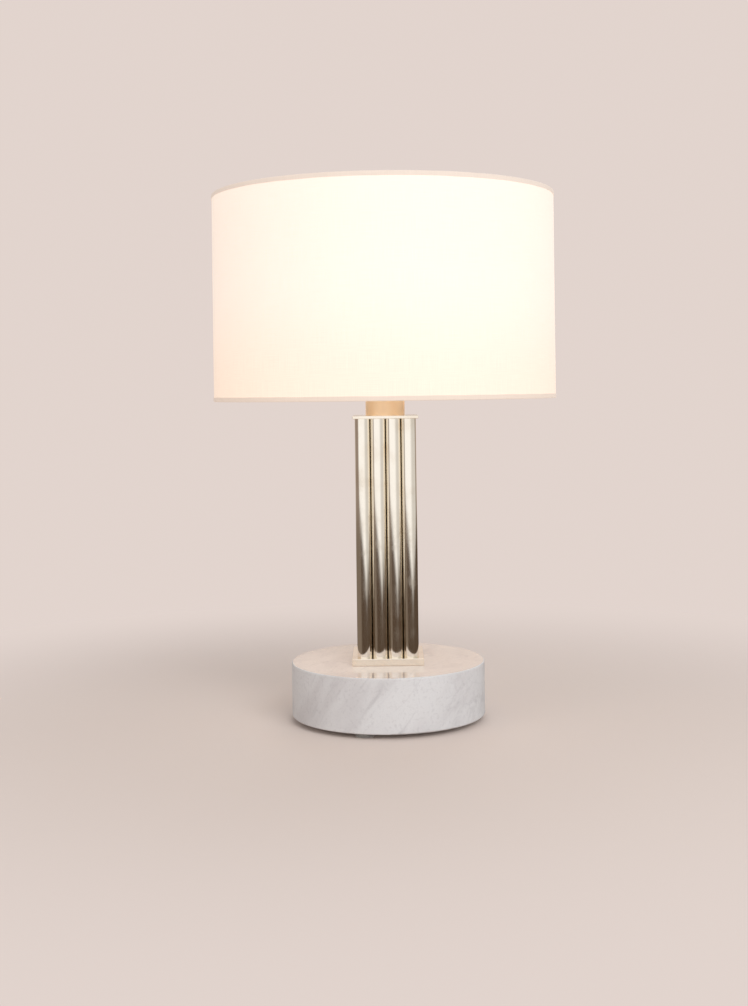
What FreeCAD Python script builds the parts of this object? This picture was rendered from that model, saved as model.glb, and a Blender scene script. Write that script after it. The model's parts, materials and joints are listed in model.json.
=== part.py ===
"""A column table lamp: marble disc, brass plates, twelve brass tubes, drum shade.

The frame: +Z is up and z = 0 is the surface that the lamp stands on. The lamp's axis is the Z axis, the
front faces -Y and the mains inlet is at the back, on +Y. All lengths are millimetres, all angles degrees.
"""
import FreeCAD, Part
import math
import os
import re

import Sketcher

Vector = FreeCAD.Vector
Z_AXIS = Vector(0, 0, 1)

# ---------------------------------------------------------------------------------------------------------
# Driving sizes
# ---------------------------------------------------------------------------------------------------------

SIZES = (
    # Marble disc and what is under it
    ("disc_diameter", 198.0, "marble disc, outside"),
    ("disc_thickness", 54.5, "marble disc, top face to underside"),
    ("disc_edge", 1.5, "rounding of the disc's two outer edges"),
    ("rod_hole", 11.0, "hole through the marble for the rod"),
    ("recess_diameter", 120.0, "wiring recess in the underside"),
    ("recess_depth", 22.0, "wiring recess, from the underside"),
    ("ledge_width", 4.0, "ledge round the recess's mouth"),
    ("ledge_depth", 2.0, "ledge, from the underside"),
    ("cover_thickness", 1.5, "cover disc in the ledge"),
    ("cover_gap", 0.25, "cover disc to the ledge's wall"),
    ("foot_height", 5.0, "clear bumper foot"),
    ("foot_diameter", 19.0, "clear bumper foot"),
    ("foot_edge", 1.6, "rounding round the foot's lower face"),
    ("foot_circle", 84.0, "axis to each foot's centre"),
    ("foot_turn", 16.4, "front foot, clockwise from the front when seen from above"),
    ("foot_count", 3, "feet under the disc"),
    # Mains inlet
    ("inlet_height", 11.0, "inlet's centre above the disc's underside"),
    ("inlet_bore", 6.5, "hole through the gland"),
    ("inlet_shank", 10.0, "gland's shank"),
    ("inlet_length", 16.0, "gland's shank"),
    ("inlet_flange", 15.0, "gland's flange"),
    ("inlet_flange_thickness", 2.5, "gland's flange"),
    ("spot_face", 17.0, "flat cut in the disc's side for the flange"),
    ("spot_face_depth", 1.0, "flat, from the disc's outside"),
    # Rod, nuts and washers
    ("rod_diameter", 10.0, "hollow threaded rod, outside"),
    ("rod_bore", 7.5, "hollow threaded rod, inside"),
    ("rod_tail", 1.0, "rod past each of its nuts"),
    ("thread_gap", 0.05, "between a thread and its nut, on the radius"),
    ("nut_flats", 17.0, "nuts, across the flats"),
    ("foot_nut_height", 5.0, "nut under the disc"),
    ("cap_nut_height", 4.0, "nut in the lampholder cap"),
    ("washer_diameter", 24.0, "washers"),
    ("foot_washer_height", 2.0, "washer under the disc"),
    ("cap_washer_height", 1.5, "washer in the lampholder cap"),
    ("bush_bore", 6.0, "insulating bush in each end of the rod"),
    ("bush_depth", 4.0, "bush inside the rod"),
    ("bush_flange", 1.0, "bush outside the rod"),
    ("bush_gap", 0.05, "bush to the rod's bore"),
    # Wiring under the disc
    ("strip_width", 24.0, "steel strip that carries the terminal block"),
    ("strip_thickness", 2.0, "steel strip"),
    ("strip_front", 27.0, "steel strip, from the axis to its front end"),
    ("strip_back", 52.0, "steel strip, from the axis to its back end"),
    ("block_width", 30.0, "terminal block"),
    ("block_depth", 16.0, "terminal block"),
    ("block_height", 14.0, "terminal block"),
    ("block_centre", 36.0, "terminal block, behind the axis"),
    ("pole_pitch", 9.0, "from one pole to the next"),
    ("pole_diameter", 4.2, "brass sleeve of a pole"),
    ("pole_bore", 2.6, "brass sleeve's bore"),
    ("pole_gap", 0.1, "sleeve to the block, on the radius"),
    ("pole_screw", 2.6, "clamp screw of a pole"),
    ("pole_screw_spread", 9.0, "between the two clamp screws of a pole"),
    ("block_screw", 3.0, "screw that holds the block"),
    ("block_screw_head", 5.2, "its head"),
    ("block_screw_head_height", 1.8, "its head"),
    ("screw_gap", 0.1, "screw to its hole, on the radius"),
    ("earth_screw", 4.0, "earth screw"),
    ("earth_screw_head", 7.0, "its head"),
    ("earth_screw_head_height", 2.4, "its head"),
    ("earth_place", 19.5, "earth screw, in front of the axis"),
    ("earth_ring_diameter", 9.0, "ring terminal"),
    ("earth_ring_thickness", 0.8, "ring terminal"),
    ("earth_barrel", 3.2, "ring terminal's barrel"),
    ("earth_barrel_length", 7.0, "ring terminal's barrel"),
    ("lead_diameter", 2.0, "insulated inner lead"),
    ("lead_spread", 1.7, "axis to each lead inside the rod"),
    # Column
    ("base_plate_margin", 5.15, "lower plate, past the tubes on each side"),
    ("base_plate_thickness", 7.0, "square brass plate on the disc"),
    ("top_plate_margin", 2.25, "upper plate, past the tubes on each side"),
    ("top_plate_thickness", 3.0, "square brass plate on the column"),
    ("plate_edge", 0.35, "chamfer round the plates"),
    ("tubes_per_side", 4, "tubes along one side of the column"),
    ("tube_diameter", 15.4, "column tube, outside"),
    ("tube_wall", 1.0, "column tube"),
    ("tube_gap", 0.2, "between neighbouring tubes"),
    ("column_height", 241.5, "from plate to plate"),
    ("low_seat_depth", 2.0, "tube's seat in the lower plate"),
    ("high_seat_depth", 1.0, "tube's seat in the upper plate"),
    ("seat_gap", 0.05, "tube to its seat, on the radius"),
    # Lampholder
    ("cap_diameter", 40.2, "lampholder cap, which is also the neck"),
    ("cap_height", 44.0, "lampholder cap"),
    ("cap_wall", 1.0, "lampholder cap, upper wall"),
    ("cap_floor", 1.5, "lampholder cap"),
    ("cap_ledge_width", 1.0, "ledge inside the cap that carries the insert"),
    ("cap_ledge_height", 35.0, "ledge above the cap's underside"),
    ("insert_height", 20.0, "ceramic insert"),
    ("insert_flange", 3.0, "ceramic insert's flange"),
    ("insert_gap", 0.15, "insert to the cap, on the radius"),
    ("post_diameter", 6.0, "terminal post under the insert"),
    ("post_height", 6.0, "terminal post under the insert"),
    ("post_circle", 13.5, "axis to each post"),
    ("post_turn", 35.0, "post, round from the Y axis"),
    ("post_screw", 2.5, "clamp screw of a post"),
    ("post_screw_head", 4.4, "its head"),
    ("shell_bore", 26.9, "screw shell for the bulb, inside"),
    ("shell_wall", 0.4, "screw shell"),
    ("shell_height", 24.0, "screw shell"),
    ("shell_lip", 3.0, "screw shell's foot, inwards"),
    ("tongue_width", 6.0, "spring contact for the bulb's tip"),
    ("tongue_thickness", 0.6, "spring contact"),
    ("tongue_rise", 4.0, "spring contact's top above the insert"),
    ("tongue_reach", 9.0, "spring contact's foot, from the axis"),
    ("skirt_diameter", 39.4, "threaded skirt, outside"),
    ("skirt_wall", 2.0, "threaded skirt"),
    ("skirt_height", 24.0, "threaded skirt above the cap"),
    ("skirt_spigot_gap", 0.05, "skirt inside the cap, on the radius"),
    # Switch
    ("bar_diameter", 5.0, "push-through switch bar"),
    ("bar_height", 24.0, "switch bar above the cap's underside"),
    ("bar_reach", 5.0, "end of the bar that is pushed in, past the cap"),
    ("bar_travel", 6.0, "stroke of the bar"),
    ("bar_gap", 0.1, "bar to its holes, on the radius"),
    ("bar_dome", 1.2, "rounding of the bar's ends"),
    ("carriage_length", 24.0, "moulded slider on the bar"),
    ("carriage_side", 8.0, "moulded slider on the bar"),
    ("slot_gap", 0.3, "slider to the insert's slot"),
    ("stop_gap", 0.1, "slider to its end stops"),
    # Shade rings and frame
    ("ring_diameter", 54.0, "shade rings"),
    ("ring_height", 4.0, "shade rings"),
    ("ring_gap", 1.0, "lower shade ring above the cap"),
    ("knurl_count", 24, "grip notches round a shade ring"),
    ("knurl_width", 2.4, "grip notch"),
    ("fitter_diameter", 60.0, "ring of the shade's frame"),
    ("fitter_bore", 42.0, "ring of the shade's frame"),
    ("fitter_thickness", 1.5, "ring of the shade's frame"),
    ("fitter_drop", 33.0, "shade's lower edge below the fitter's underside"),
    ("arm_count", 3, "arms of the shade's frame"),
    ("arm_diameter", 3.5, "arms of the shade's frame"),
    ("arm_start", 28.5, "axis to each arm's inner end"),
    ("arm_bend", 14.0, "bend in each arm"),
    ("wire_diameter", 3.0, "wire rings at the shade's edges"),
    # Shade
    ("shade_diameter", 350.0, "fabric drum, outside"),
    ("shade_height", 210.0, "fabric drum"),
    ("fabric_thickness", 0.6, "fabric"),
    ("liner_thickness", 0.5, "stiff liner that carries the fabric"),
    ("glue_gap", 0.1, "between fabric, liner and wire"),
    ("hem_width", 4.5, "hem on the outside of the drum"),
    ("hem_thickness", 0.45, "hem"),
    ("seam_width", 14.0, "lap of the fabric at the back"),
    ("seam_thickness", 0.35, "lap of the fabric at the back"),
    # Bulb
    ("bulb_diameter", 60.0, "bulb's glass"),
    ("bulb_length", 105.0, "bulb, tip to top"),
    ("bulb_wall", 0.8, "bulb's glass"),
    ("bulb_neck", 25.2, "bulb's glass where it enters the cap"),
    ("bulb_flare", 35.0, "curve from the neck to the round of the glass"),
    ("bulb_cap_diameter", 26.2, "bulb's screw cap"),
    ("bulb_cap_wall", 0.3, "bulb's screw cap"),
    ("bulb_cap_height", 20.0, "bulb's screw cap"),
    ("bulb_cap_slope", 1.5, "cone at the cap's lower end"),
    ("bulb_glass_entry", 2.0, "glass inside the cap"),
    ("tip_diameter", 9.0, "bulb's tip contact"),
    ("tip_height", 1.5, "bulb's tip contact"),
    ("insulator_height", 4.0, "between the tip and the cap"),
    ("stem_diameter", 5.0, "glass stem inside the bulb"),
    ("stem_height", 58.0, "glass stem inside the bulb"),
    ("stem_foot", 3.0, "stem's flare in the neck"),
    ("filament_count", 4, "light strips round the stem"),
    ("filament_diameter", 1.8, "light strip"),
    ("filament_length", 30.0, "light strip"),
    ("filament_circle", 8.0, "axis to each strip"),
    ("anchor_diameter", 1.0, "wires that hold the strips"),
)

# Heights above the surface that the lamp stands on, each from the pieces stacked below it
LEVELS = {
    "disc_bottom": "foot_height",
    "disc_top": "disc_bottom + disc_thickness",
    "ledge_level": "disc_bottom + ledge_depth",
    "recess_ceiling": "disc_bottom + recess_depth",
    "inlet_level": "disc_bottom + inlet_height",
    "strip_bottom": "recess_ceiling - strip_thickness",
    "foot_washer_bottom": "strip_bottom - foot_washer_height",
    "foot_nut_bottom": "foot_washer_bottom - foot_nut_height",
    "rod_bottom": "foot_nut_bottom - rod_tail",
    "block_bottom": "strip_bottom - block_height",
    "pole_level": "strip_bottom - block_height / 2",
    "earth_ring_bottom": "strip_bottom - earth_ring_thickness",
    "base_plate_top": "disc_top + base_plate_thickness",
    "column_top": "base_plate_top + column_height",
    "top_plate_top": "column_top + top_plate_thickness",
    "cap_floor_top": "top_plate_top + cap_floor",
    "cap_washer_top": "cap_floor_top + cap_washer_height",
    "cap_nut_top": "cap_washer_top + cap_nut_height",
    "rod_top": "cap_nut_top + rod_tail",
    "cap_top": "top_plate_top + cap_height",
    "cap_ledge": "top_plate_top + cap_ledge_height",
    "insert_top": "cap_ledge + insert_flange",
    "insert_bottom": "insert_top - insert_height",
    "post_bottom": "insert_bottom - post_height",
    "post_level": "insert_bottom - post_height / 2",
    "bar_level": "top_plate_top + bar_height",
    "skirt_top": "cap_top + skirt_height",
    "lower_ring_bottom": "cap_top + ring_gap",
    "fitter_bottom": "lower_ring_bottom + ring_height",
    "fitter_top": "fitter_bottom + fitter_thickness",
    "shade_bottom": "fitter_bottom - fitter_drop",
    "shade_top": "shade_bottom + shade_height",
    "low_wire_level": "shade_bottom + hem_thickness + glue_gap + wire_diameter / 2",
    "high_wire_level": "shade_top - hem_thickness - glue_gap - wire_diameter / 2",
    "bulb_tip": "insert_top + tongue_rise",
    "insulator_bottom": "bulb_tip + tip_height",
    "bulb_cap_bottom": "insulator_bottom + insulator_height",
    "bulb_cap_top": "bulb_cap_bottom + bulb_cap_height",
    "glass_bottom": "bulb_cap_top - bulb_glass_entry",
    "bulb_top": "bulb_tip + bulb_length",
    # Radii that more than one piece shares
    "disc_radius": "disc_diameter / 2",
    "tube_pitch": "tube_diameter + tube_gap",
    "column_side": "(tubes_per_side - 1) * tube_pitch + tube_diameter",
    "base_plate_side": "column_side + 2 * base_plate_margin",
    "top_plate_side": "column_side + 2 * top_plate_margin",
    "cap_radius": "cap_diameter / 2",
    "cap_bore_radius": "cap_radius - cap_wall",
    "cap_low_bore_radius": "cap_bore_radius - cap_ledge_width",
    "thread_hole": "rod_diameter + 2 * thread_gap",
    "skirt_bore_radius": "skirt_diameter / 2 - skirt_wall",
    "fabric_inner_radius": "shade_diameter / 2 - fabric_thickness",
    "liner_outer_radius": "fabric_inner_radius - glue_gap",
    "liner_inner_radius": "liner_outer_radius - liner_thickness",
    "wire_circle": "liner_inner_radius - glue_gap - wire_diameter / 2",
    "hem_outer_radius": "shade_diameter / 2 + hem_thickness",
    "hem_inner_radius": "wire_circle - wire_diameter / 2",
    "bar_half_reach": "cap_radius + bar_reach + bar_travel / 2",
    "slot_half_length": "(carriage_length + bar_travel) / 2 + stop_gap",
    "inlet_seat": "disc_radius - spot_face_depth",
    "filament_bottom": "bulb_cap_top + stem_height - filament_length - 2 * anchor_diameter",
}
FUNCTIONS = ("sin", "cos", "sqrt")

doc = FreeCAD.newDocument("column_table_lamp")
sheet = doc.addObject("Spreadsheet::Sheet", "Sizes")
for row, (alias, size, meaning) in enumerate(SIZES, start=1):
    sheet.set(f"A{row}", meaning)
    sheet.set(f"B{row}", str(size))
    sheet.setAlias(f"B{row}", alias)
doc.recompute()

nodes = {}


def formula(words):
    """Spell a sum of size and level names as an expression on the sheet."""
    def spelled(match):
        word = match.group(0)
        if word in LEVELS:
            return "(" + formula(LEVELS[word]) + ")"
        if word in FUNCTIONS:
            return word
        return "Sizes." + word
    return re.sub(r"[a-z_]+", spelled, words)


def value(words):
    """Work out a sum of size and level names as a number."""
    result = sheet.evalExpression(formula(words))
    return float(getattr(result, "Value", result))


def count(alias):
    """Read a size that is a whole number."""
    return int(round(value(alias)))


def node(obj, name):
    """Make an object one of the lamp's pieces."""
    obj.Label = name
    nodes[name] = obj
    return obj


# ---------------------------------------------------------------------------------------------------------
# Bodies made from sketches
# ---------------------------------------------------------------------------------------------------------

def new_body(name):
    return doc.addObject("PartDesign::Body", name)


def new_sketch(body, role, level="0"):
    """Put a sketch on one of the body's own planes, moved along its normal to a level."""
    sketch = body.newObject("Sketcher::SketchObject", body.Name + "_sketch")
    planes = [feature for feature in body.Origin.OriginFeatures if feature.Role == role]
    sketch.AttachmentSupport = [(planes[0], "")]
    sketch.MapMode = "FlatFace"
    sketch.setExpression(".AttachmentOffset.Base.z", formula(level))
    return sketch


def pin_point(sketch, curve, end, x, y):
    """Hold one point of a sketch at (x, y), both bound to the sizes."""
    for kind, words, axis in (("DistanceX", x, -2), ("DistanceY", y, -1)):
        amount = value(words)
        if abs(amount) < 1e-9:
            sketch.addConstraint(Sketcher.Constraint("PointOnObject", curve, end, axis))
        elif amount > 0:
            held = sketch.addConstraint(Sketcher.Constraint(kind, -1, 1, curve, end, amount))
            sketch.setExpression(f"Constraints[{held}]", formula(words))
        else:
            held = sketch.addConstraint(Sketcher.Constraint(kind, curve, end, -1, 1, -amount))
            sketch.setExpression(f"Constraints[{held}]", "-(" + formula(words) + ")")


def draw_circle(sketch, diameter, x="0", y="0"):
    centre = Vector(value(x), value(y), 0)
    curve = sketch.addGeometry(Part.Circle(centre, Z_AXIS, value(diameter) / 2))
    held = sketch.addConstraint(Sketcher.Constraint("Diameter", curve, value(diameter)))
    sketch.setExpression(f"Constraints[{held}]", formula(diameter))
    pin_point(sketch, curve, 3, x, y)


def draw_outline(sketch, corners):
    """Draw a closed outline through corners, each an (x, y) pair bound to the sizes."""
    points = [Vector(value(x), value(y), 0) for x, y in corners]
    lines = []
    for start, end in zip(points, points[1:] + points[:1]):
        lines.append(sketch.addGeometry(Part.LineSegment(start, end)))
    for line, following in zip(lines, lines[1:] + lines[:1]):
        sketch.addConstraint(Sketcher.Constraint("Coincident", line, 2, following, 1))
    for line, (x, y) in zip(lines, corners):
        pin_point(sketch, line, 1, x, y)


def square(side):
    """List the corners of a square about the axis."""
    half = f"({side}) / 2"
    return [(f"-{half}", f"-{half}"), (half, f"-{half}"), (half, half), (f"-{half}", half)]


def add_pad(body, sketch, length):
    pad = body.newObject("PartDesign::Pad", body.Name + "_pad")
    pad.Profile = sketch
    pad.setExpression("Length", formula(length))
    return pad


def add_pocket(body, sketch, depth, upwards=False):
    """Cut a sketch into the body, and make sure that it removed something."""
    doc.recompute()
    before = body.Shape.Volume
    pocket = body.newObject("PartDesign::Pocket", body.Name + "_pocket")
    pocket.Profile = sketch
    pocket.Reversed = upwards
    pocket.setExpression("Length", formula(depth))
    doc.recompute()
    if body.Shape.Volume >= before:
        raise ValueError("a pocket of " + body.Name + " cut nothing")
    return pocket


def turned(name, corners):
    """Turn a closed outline of (radius, height) corners about the body's own axis."""
    body = new_body(name)
    sketch = new_sketch(body, "XZ_Plane")
    draw_outline(sketch, corners)
    turn = body.newObject("PartDesign::Revolution", name + "_turn")
    turn.Profile = sketch
    turn.ReferenceAxis = (sketch, ["V_Axis"])
    turn.Angle = 360
    return body


def ease_edges(body, kind, size, wanted):
    """Round or chamfer the edges of a body for which wanted(edge) holds."""
    doc.recompute()
    tip = body.Tip
    names = [f"Edge{i}" for i, edge in enumerate(tip.Shape.Edges, start=1) if wanted(edge)]
    easing = body.newObject("PartDesign::" + kind, body.Name + "_" + kind.lower())
    easing.Base = (tip, names)
    easing.setExpression("Radius" if kind == "Fillet" else "Size", formula(size))
    doc.recompute()
    return easing


def around_axis(body, features, copies):
    """Repeat features evenly about the body's Z axis."""
    pattern = body.newObject("PartDesign::PolarPattern", body.Name + "_pattern")
    pattern.Originals = features
    axes = [feature for feature in body.Origin.OriginFeatures if feature.Role == "Z_Axis"]
    pattern.Axis = (axes[0], [""])
    pattern.Angle = 360
    pattern.setExpression("Occurrences", formula(copies))
    body.Tip = pattern
    doc.recompute()
    return pattern


def disc_with_hole(name, outer, inner, bottom, height):
    """Pad a flat ring."""
    body = new_body(name)
    sketch = new_sketch(body, "XY_Plane", bottom)
    draw_circle(sketch, outer)
    draw_circle(sketch, inner)
    add_pad(body, sketch, height)
    return node(body, name)


# ---------------------------------------------------------------------------------------------------------
# Solids joined and cut
# ---------------------------------------------------------------------------------------------------------

TURNS = {
    "X": FreeCAD.Rotation(Vector(0, 1, 0), 90),
    "Y": FreeCAD.Rotation(Vector(1, 0, 0), -90),
    "Z": FreeCAD.Rotation(),
}


def place(obj, x="0", y="0", z="0"):
    for axis, words in (("x", x), ("y", y), ("z", z)):
        obj.setExpression(".Placement.Base." + axis, formula(words))
    return obj


def cylinder(name, diameter, length, x="0", y="0", z="0", along="Z"):
    """Make a cylinder that starts at (x, y, z) and runs along an axis."""
    obj = doc.addObject("Part::Cylinder", name)
    obj.setExpression("Radius", formula(f"({diameter}) / 2"))
    obj.setExpression("Height", formula(length))
    obj.Placement = FreeCAD.Placement(Vector(), TURNS[along])
    return place(obj, x, y, z)


def block(name, width, depth, height, x="0", y="0", z="0"):
    """Make a box centred on x and y that stands on z."""
    obj = doc.addObject("Part::Box", name)
    obj.setExpression("Length", formula(width))
    obj.setExpression("Width", formula(depth))
    obj.setExpression("Height", formula(height))
    return place(obj, f"{x} - ({width}) / 2", f"{y} - ({depth}) / 2", z)


def fused(name, pieces):
    obj = doc.addObject("Part::MultiFuse", name)
    obj.Shapes = pieces
    return obj


def cut(name, base, tools):
    """Cut one or more tools from a base."""
    tool = tools[0] if len(tools) == 1 else fused(name + "_tools", tools)
    obj = doc.addObject("Part::Cut", name)
    obj.Base = base
    obj.Tool = tool
    return obj


def group(name, pieces):
    """Keep equal small solids in one piece of the list."""
    obj = doc.addObject("Part::Compound", name)
    obj.Links = pieces
    return node(obj, name)


def hex_nut(name, height, bottom):
    prism = doc.addObject("Part::Prism", name + "_prism")
    prism.Polygon = 6
    prism.setExpression("Circumradius", formula("nut_flats / 2 / cos(30)"))
    prism.setExpression("Height", formula(height))
    place(prism, z=bottom)
    hole = cylinder(name + "_thread", "thread_hole", height, z=bottom)
    return node(cut(name, prism, [hole]), name)


def route_wire(points, largest):
    """Join points by straight runs and tangent arcs, none larger than largest."""
    edges = []
    radii = []
    start = points[0]
    for before, corner, after in zip(points, points[1:], points[2:]):
        inward = (before - corner).normalize()
        outward = (after - corner).normalize()
        half_turn = (math.pi - inward.getAngle(outward)) / 2
        shorter = min((before - corner).Length, (after - corner).Length)
        radius = min(0.45 * shorter / math.tan(half_turn), largest)
        set_back = radius * math.tan(half_turn)
        into = corner + inward * set_back
        out_of = corner + outward * set_back
        middle_way = (inward + outward).normalize()
        middle = corner + middle_way * (radius / math.cos(half_turn) - radius)
        edges.append(Part.LineSegment(start, into).toShape())
        edges.append(Part.Arc(into, middle, out_of).toShape())
        radii.append(radius)
        start = out_of
    edges.append(Part.LineSegment(start, points[-1]).toShape())
    return Part.Wire(edges), radii


def rod_along(points, diameter, largest):
    """Sweep a round section along a route, and compare its volume with section times length."""
    wire, radii = route_wire(points, largest)
    direction = points[1] - points[0]
    section = Part.Wire([Part.Circle(points[0], direction, diameter / 2).toShape()])
    solid = wire.makePipeShell([section], True, True)
    expected = math.pi * diameter ** 2 / 4 * wire.Length
    if abs(solid.Volume / expected - 1) > 0.01:
        raise ValueError("a swept piece has the wrong volume")
    return solid, radii, wire.Length


# ---------------------------------------------------------------------------------------------------------
# Marble disc and its underside
# ---------------------------------------------------------------------------------------------------------

def build_marble_base():
    disc = turned("marble_disc", [
        ("rod_hole / 2", "recess_ceiling"),
        ("recess_diameter / 2", "recess_ceiling"),
        ("recess_diameter / 2", "ledge_level"),
        ("recess_diameter / 2 + ledge_width", "ledge_level"),
        ("recess_diameter / 2 + ledge_width", "disc_bottom"),
        ("disc_radius", "disc_bottom"),
        ("disc_radius", "disc_top"),
        ("rod_hole / 2", "disc_top"),
    ])
    outside = value("disc_radius")
    ease_edges(disc, "Fillet", "disc_edge",
               lambda edge: len(edge.Vertexes) == 1 and abs(edge.Curve.Radius - outside) < 1e-6)
    hole = cylinder("inlet_hole", "inlet_shank + 2 * thread_gap", "disc_radius",
                    z="inlet_level", along="Y")
    flat = cylinder("inlet_flat", "spot_face", "2 * spot_face_depth",
                    y="inlet_seat", z="inlet_level", along="Y")
    node(cut("marble_base", disc, [hole, flat]), "marble_base")


def build_foot_pads():
    body = new_body("foot_pads")
    sketch = new_sketch(body, "XY_Plane")
    draw_circle(sketch, "foot_diameter", "-(foot_circle * sin(foot_turn))", "-(foot_circle * cos(foot_turn))")
    pad = add_pad(body, sketch, "foot_height")
    rounding = ease_edges(body, "Fillet", "foot_edge",
                          lambda edge: len(edge.Vertexes) == 1 and edge.BoundBox.ZMax < 1e-6)
    around_axis(body, [pad, rounding], "foot_count")
    node(body, "foot_pads")


def build_underside():
    cover = new_body("base_cover")
    sketch = new_sketch(cover, "XY_Plane", "ledge_level - cover_thickness")
    draw_circle(sketch, "recess_diameter + 2 * ledge_width - 2 * cover_gap")
    add_pad(cover, sketch, "cover_thickness")
    node(cover, "base_cover")
    shank = cylinder("gland_shank", "inlet_shank", "inlet_length",
                     y="inlet_seat - inlet_length", z="inlet_level", along="Y")
    flange = cylinder("gland_flange", "inlet_flange", "inlet_flange_thickness",
                      y="inlet_seat", z="inlet_level", along="Y")
    bore = cylinder("gland_bore", "inlet_bore", "inlet_length + inlet_flange_thickness",
                    y="inlet_seat - inlet_length", z="inlet_level", along="Y")
    node(cut("cable_gland", fused("gland_solid", [shank, flange]), [bore]), "cable_gland")


def build_wiring_strip():
    """Make the steel strip that the washer clamps to the recess's ceiling, and what is screwed to it."""
    strip = new_body("wiring_strip")
    sketch = new_sketch(strip, "XY_Plane", "strip_bottom")
    draw_outline(sketch, [
        ("-strip_width / 2", "-strip_front"),
        ("strip_width / 2", "-strip_front"),
        ("strip_width / 2", "strip_back"),
        ("-strip_width / 2", "strip_back"),
    ])
    draw_circle(sketch, "thread_hole")
    draw_circle(sketch, "earth_screw + 2 * thread_gap", y="-earth_place")
    draw_circle(sketch, "block_screw + 2 * thread_gap", "pole_pitch / 2", "block_centre")
    add_pad(strip, sketch, "strip_thickness")
    node(strip, "wiring_strip")
    shank = cylinder("earth_screw_shank", "earth_screw", "earth_ring_thickness + strip_thickness",
                     y="-earth_place", z="earth_ring_bottom")
    head = cylinder("earth_screw_cap", "earth_screw_head", "earth_screw_head_height",
                    y="-earth_place", z="earth_ring_bottom - earth_screw_head_height")
    node(fused("earth_screw", [shank, head]), "earth_screw")
    ring = cylinder("earth_ring_disc", "earth_ring_diameter", "earth_ring_thickness",
                    y="-earth_place", z="earth_ring_bottom")
    hole = cylinder("earth_ring_hole", "earth_screw + 2 * screw_gap", "earth_ring_thickness",
                    y="-earth_place", z="earth_ring_bottom")
    barrel = cylinder("earth_ring_barrel", "earth_barrel", "earth_barrel_length",
                      x="earth_ring_diameter / 2 - earth_ring_thickness", y="-earth_place",
                      z="strip_bottom - earth_barrel / 2", along="X")
    wire_hole = cylinder("earth_ring_wire_hole", "lead_diameter + 2 * thread_gap", "earth_barrel_length",
                         x="earth_ring_diameter / 2 + earth_ring_thickness", y="-earth_place",
                         z="strip_bottom - earth_barrel / 2", along="X")
    node(cut("earth_ring", fused("earth_ring_solid", [ring, barrel]), [hole, wire_hole]), "earth_ring")


def pole_places():
    return [("live", "-pole_pitch"), ("neutral", "0"), ("earth", "pole_pitch")]


def build_terminal_block():
    housing = block("block_solid", "block_width", "block_depth", "block_height",
                    y="block_centre", z="block_bottom")
    back = "block_centre - block_depth / 2"
    holes = [cylinder("block_screw_hole", "block_screw + 2 * screw_gap", "block_height",
                      x="pole_pitch / 2", y="block_centre", z="block_bottom")]
    sleeves = []
    screws = []
    for pole, x in pole_places():
        holes.append(cylinder(pole + "_bore", "pole_diameter + 2 * pole_gap", "block_depth",
                              x=x, y=back, z="pole_level", along="Y"))
        sleeve = cylinder(pole + "_sleeve_solid", "pole_diameter", "block_depth",
                          x=x, y=back, z="pole_level", along="Y")
        sleeve_cuts = [cylinder(pole + "_sleeve_bore", "pole_bore", "block_depth",
                                x=x, y=back, z="pole_level", along="Y")]
        for side, sign in (("inner", "-"), ("outer", "+")):
            y = f"block_centre {sign} pole_screw_spread / 2"
            name = f"{pole}_{side}"
            holes.append(cylinder(name + "_screw_way", "pole_screw + 2 * screw_gap", "block_height / 2",
                                  x=x, y=y, z="block_bottom"))
            sleeve_cuts.append(cylinder(name + "_sleeve_hole", "pole_screw + 2 * thread_gap",
                                        "pole_diameter / 2", x=x, y=y, z="pole_level - pole_diameter / 2"))
            screws.append(cylinder(name + "_screw", "pole_screw",
                                   "block_height / 2 - screw_gap - lead_diameter / 2",
                                   x=x, y=y, z="block_bottom + screw_gap"))
        sleeves.append(cut(pole + "_sleeve", sleeve, sleeve_cuts))
    node(cut("terminal_block", housing, holes), "terminal_block")
    group("block_sleeves", sleeves)
    group("block_clamp_screws", screws)
    shank = cylinder("fixing_shank", "block_screw", "block_height + strip_thickness",
                     x="pole_pitch / 2", y="block_centre", z="block_bottom")
    head = cylinder("fixing_head", "block_screw_head", "block_screw_head_height",
                    x="pole_pitch / 2", y="block_centre", z="block_bottom - block_screw_head_height")
    node(fused("block_screw", [shank, head]), "block_screw")


# ---------------------------------------------------------------------------------------------------------
# Rod, column and plates
# ---------------------------------------------------------------------------------------------------------

def build_rod():
    disc_with_hole("threaded_rod", "rod_diameter", "rod_bore", "rod_bottom", "rod_top - rod_bottom")
    disc_with_hole("foot_washer", "washer_diameter", "thread_hole", "foot_washer_bottom",
                   "foot_washer_height")
    hex_nut("foot_nut", "foot_nut_height", "foot_nut_bottom")
    disc_with_hole("cap_washer", "washer_diameter", "thread_hole", "cap_floor_top", "cap_washer_height")
    hex_nut("cap_nut", "cap_nut_height", "cap_washer_top")
    bushes = []
    for name, flange_bottom, shank_bottom in (
        ("low_bush", "rod_bottom - bush_flange", "rod_bottom"),
        ("high_bush", "rod_top", "rod_top - bush_depth"),
    ):
        flange = cylinder(name + "_flange", "rod_diameter", "bush_flange", z=flange_bottom)
        shank = cylinder(name + "_shank", "rod_bore - 2 * bush_gap", "bush_depth", z=shank_bottom)
        solid = fused(name + "_solid", [flange, shank])
        bore = cylinder(name + "_bore", "bush_bore", "bush_flange + 2 * bush_depth",
                        z=f"{shank_bottom} - bush_depth")
        bushes.append(cut(name, solid, [bore]))
    group("rod_bushes", bushes)


def tube_places():
    """List the column's tubes as (x, y) places round a hollow square, row by row from the front left."""
    per_side = count("tubes_per_side")
    places = []
    for row in range(per_side):
        for column in range(per_side):
            if row in (0, per_side - 1) or column in (0, per_side - 1):
                steps = [f"({i} - (tubes_per_side - 1) / 2) * tube_pitch" for i in (column, row)]
                places.append(tuple(steps))
    return places


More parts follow.
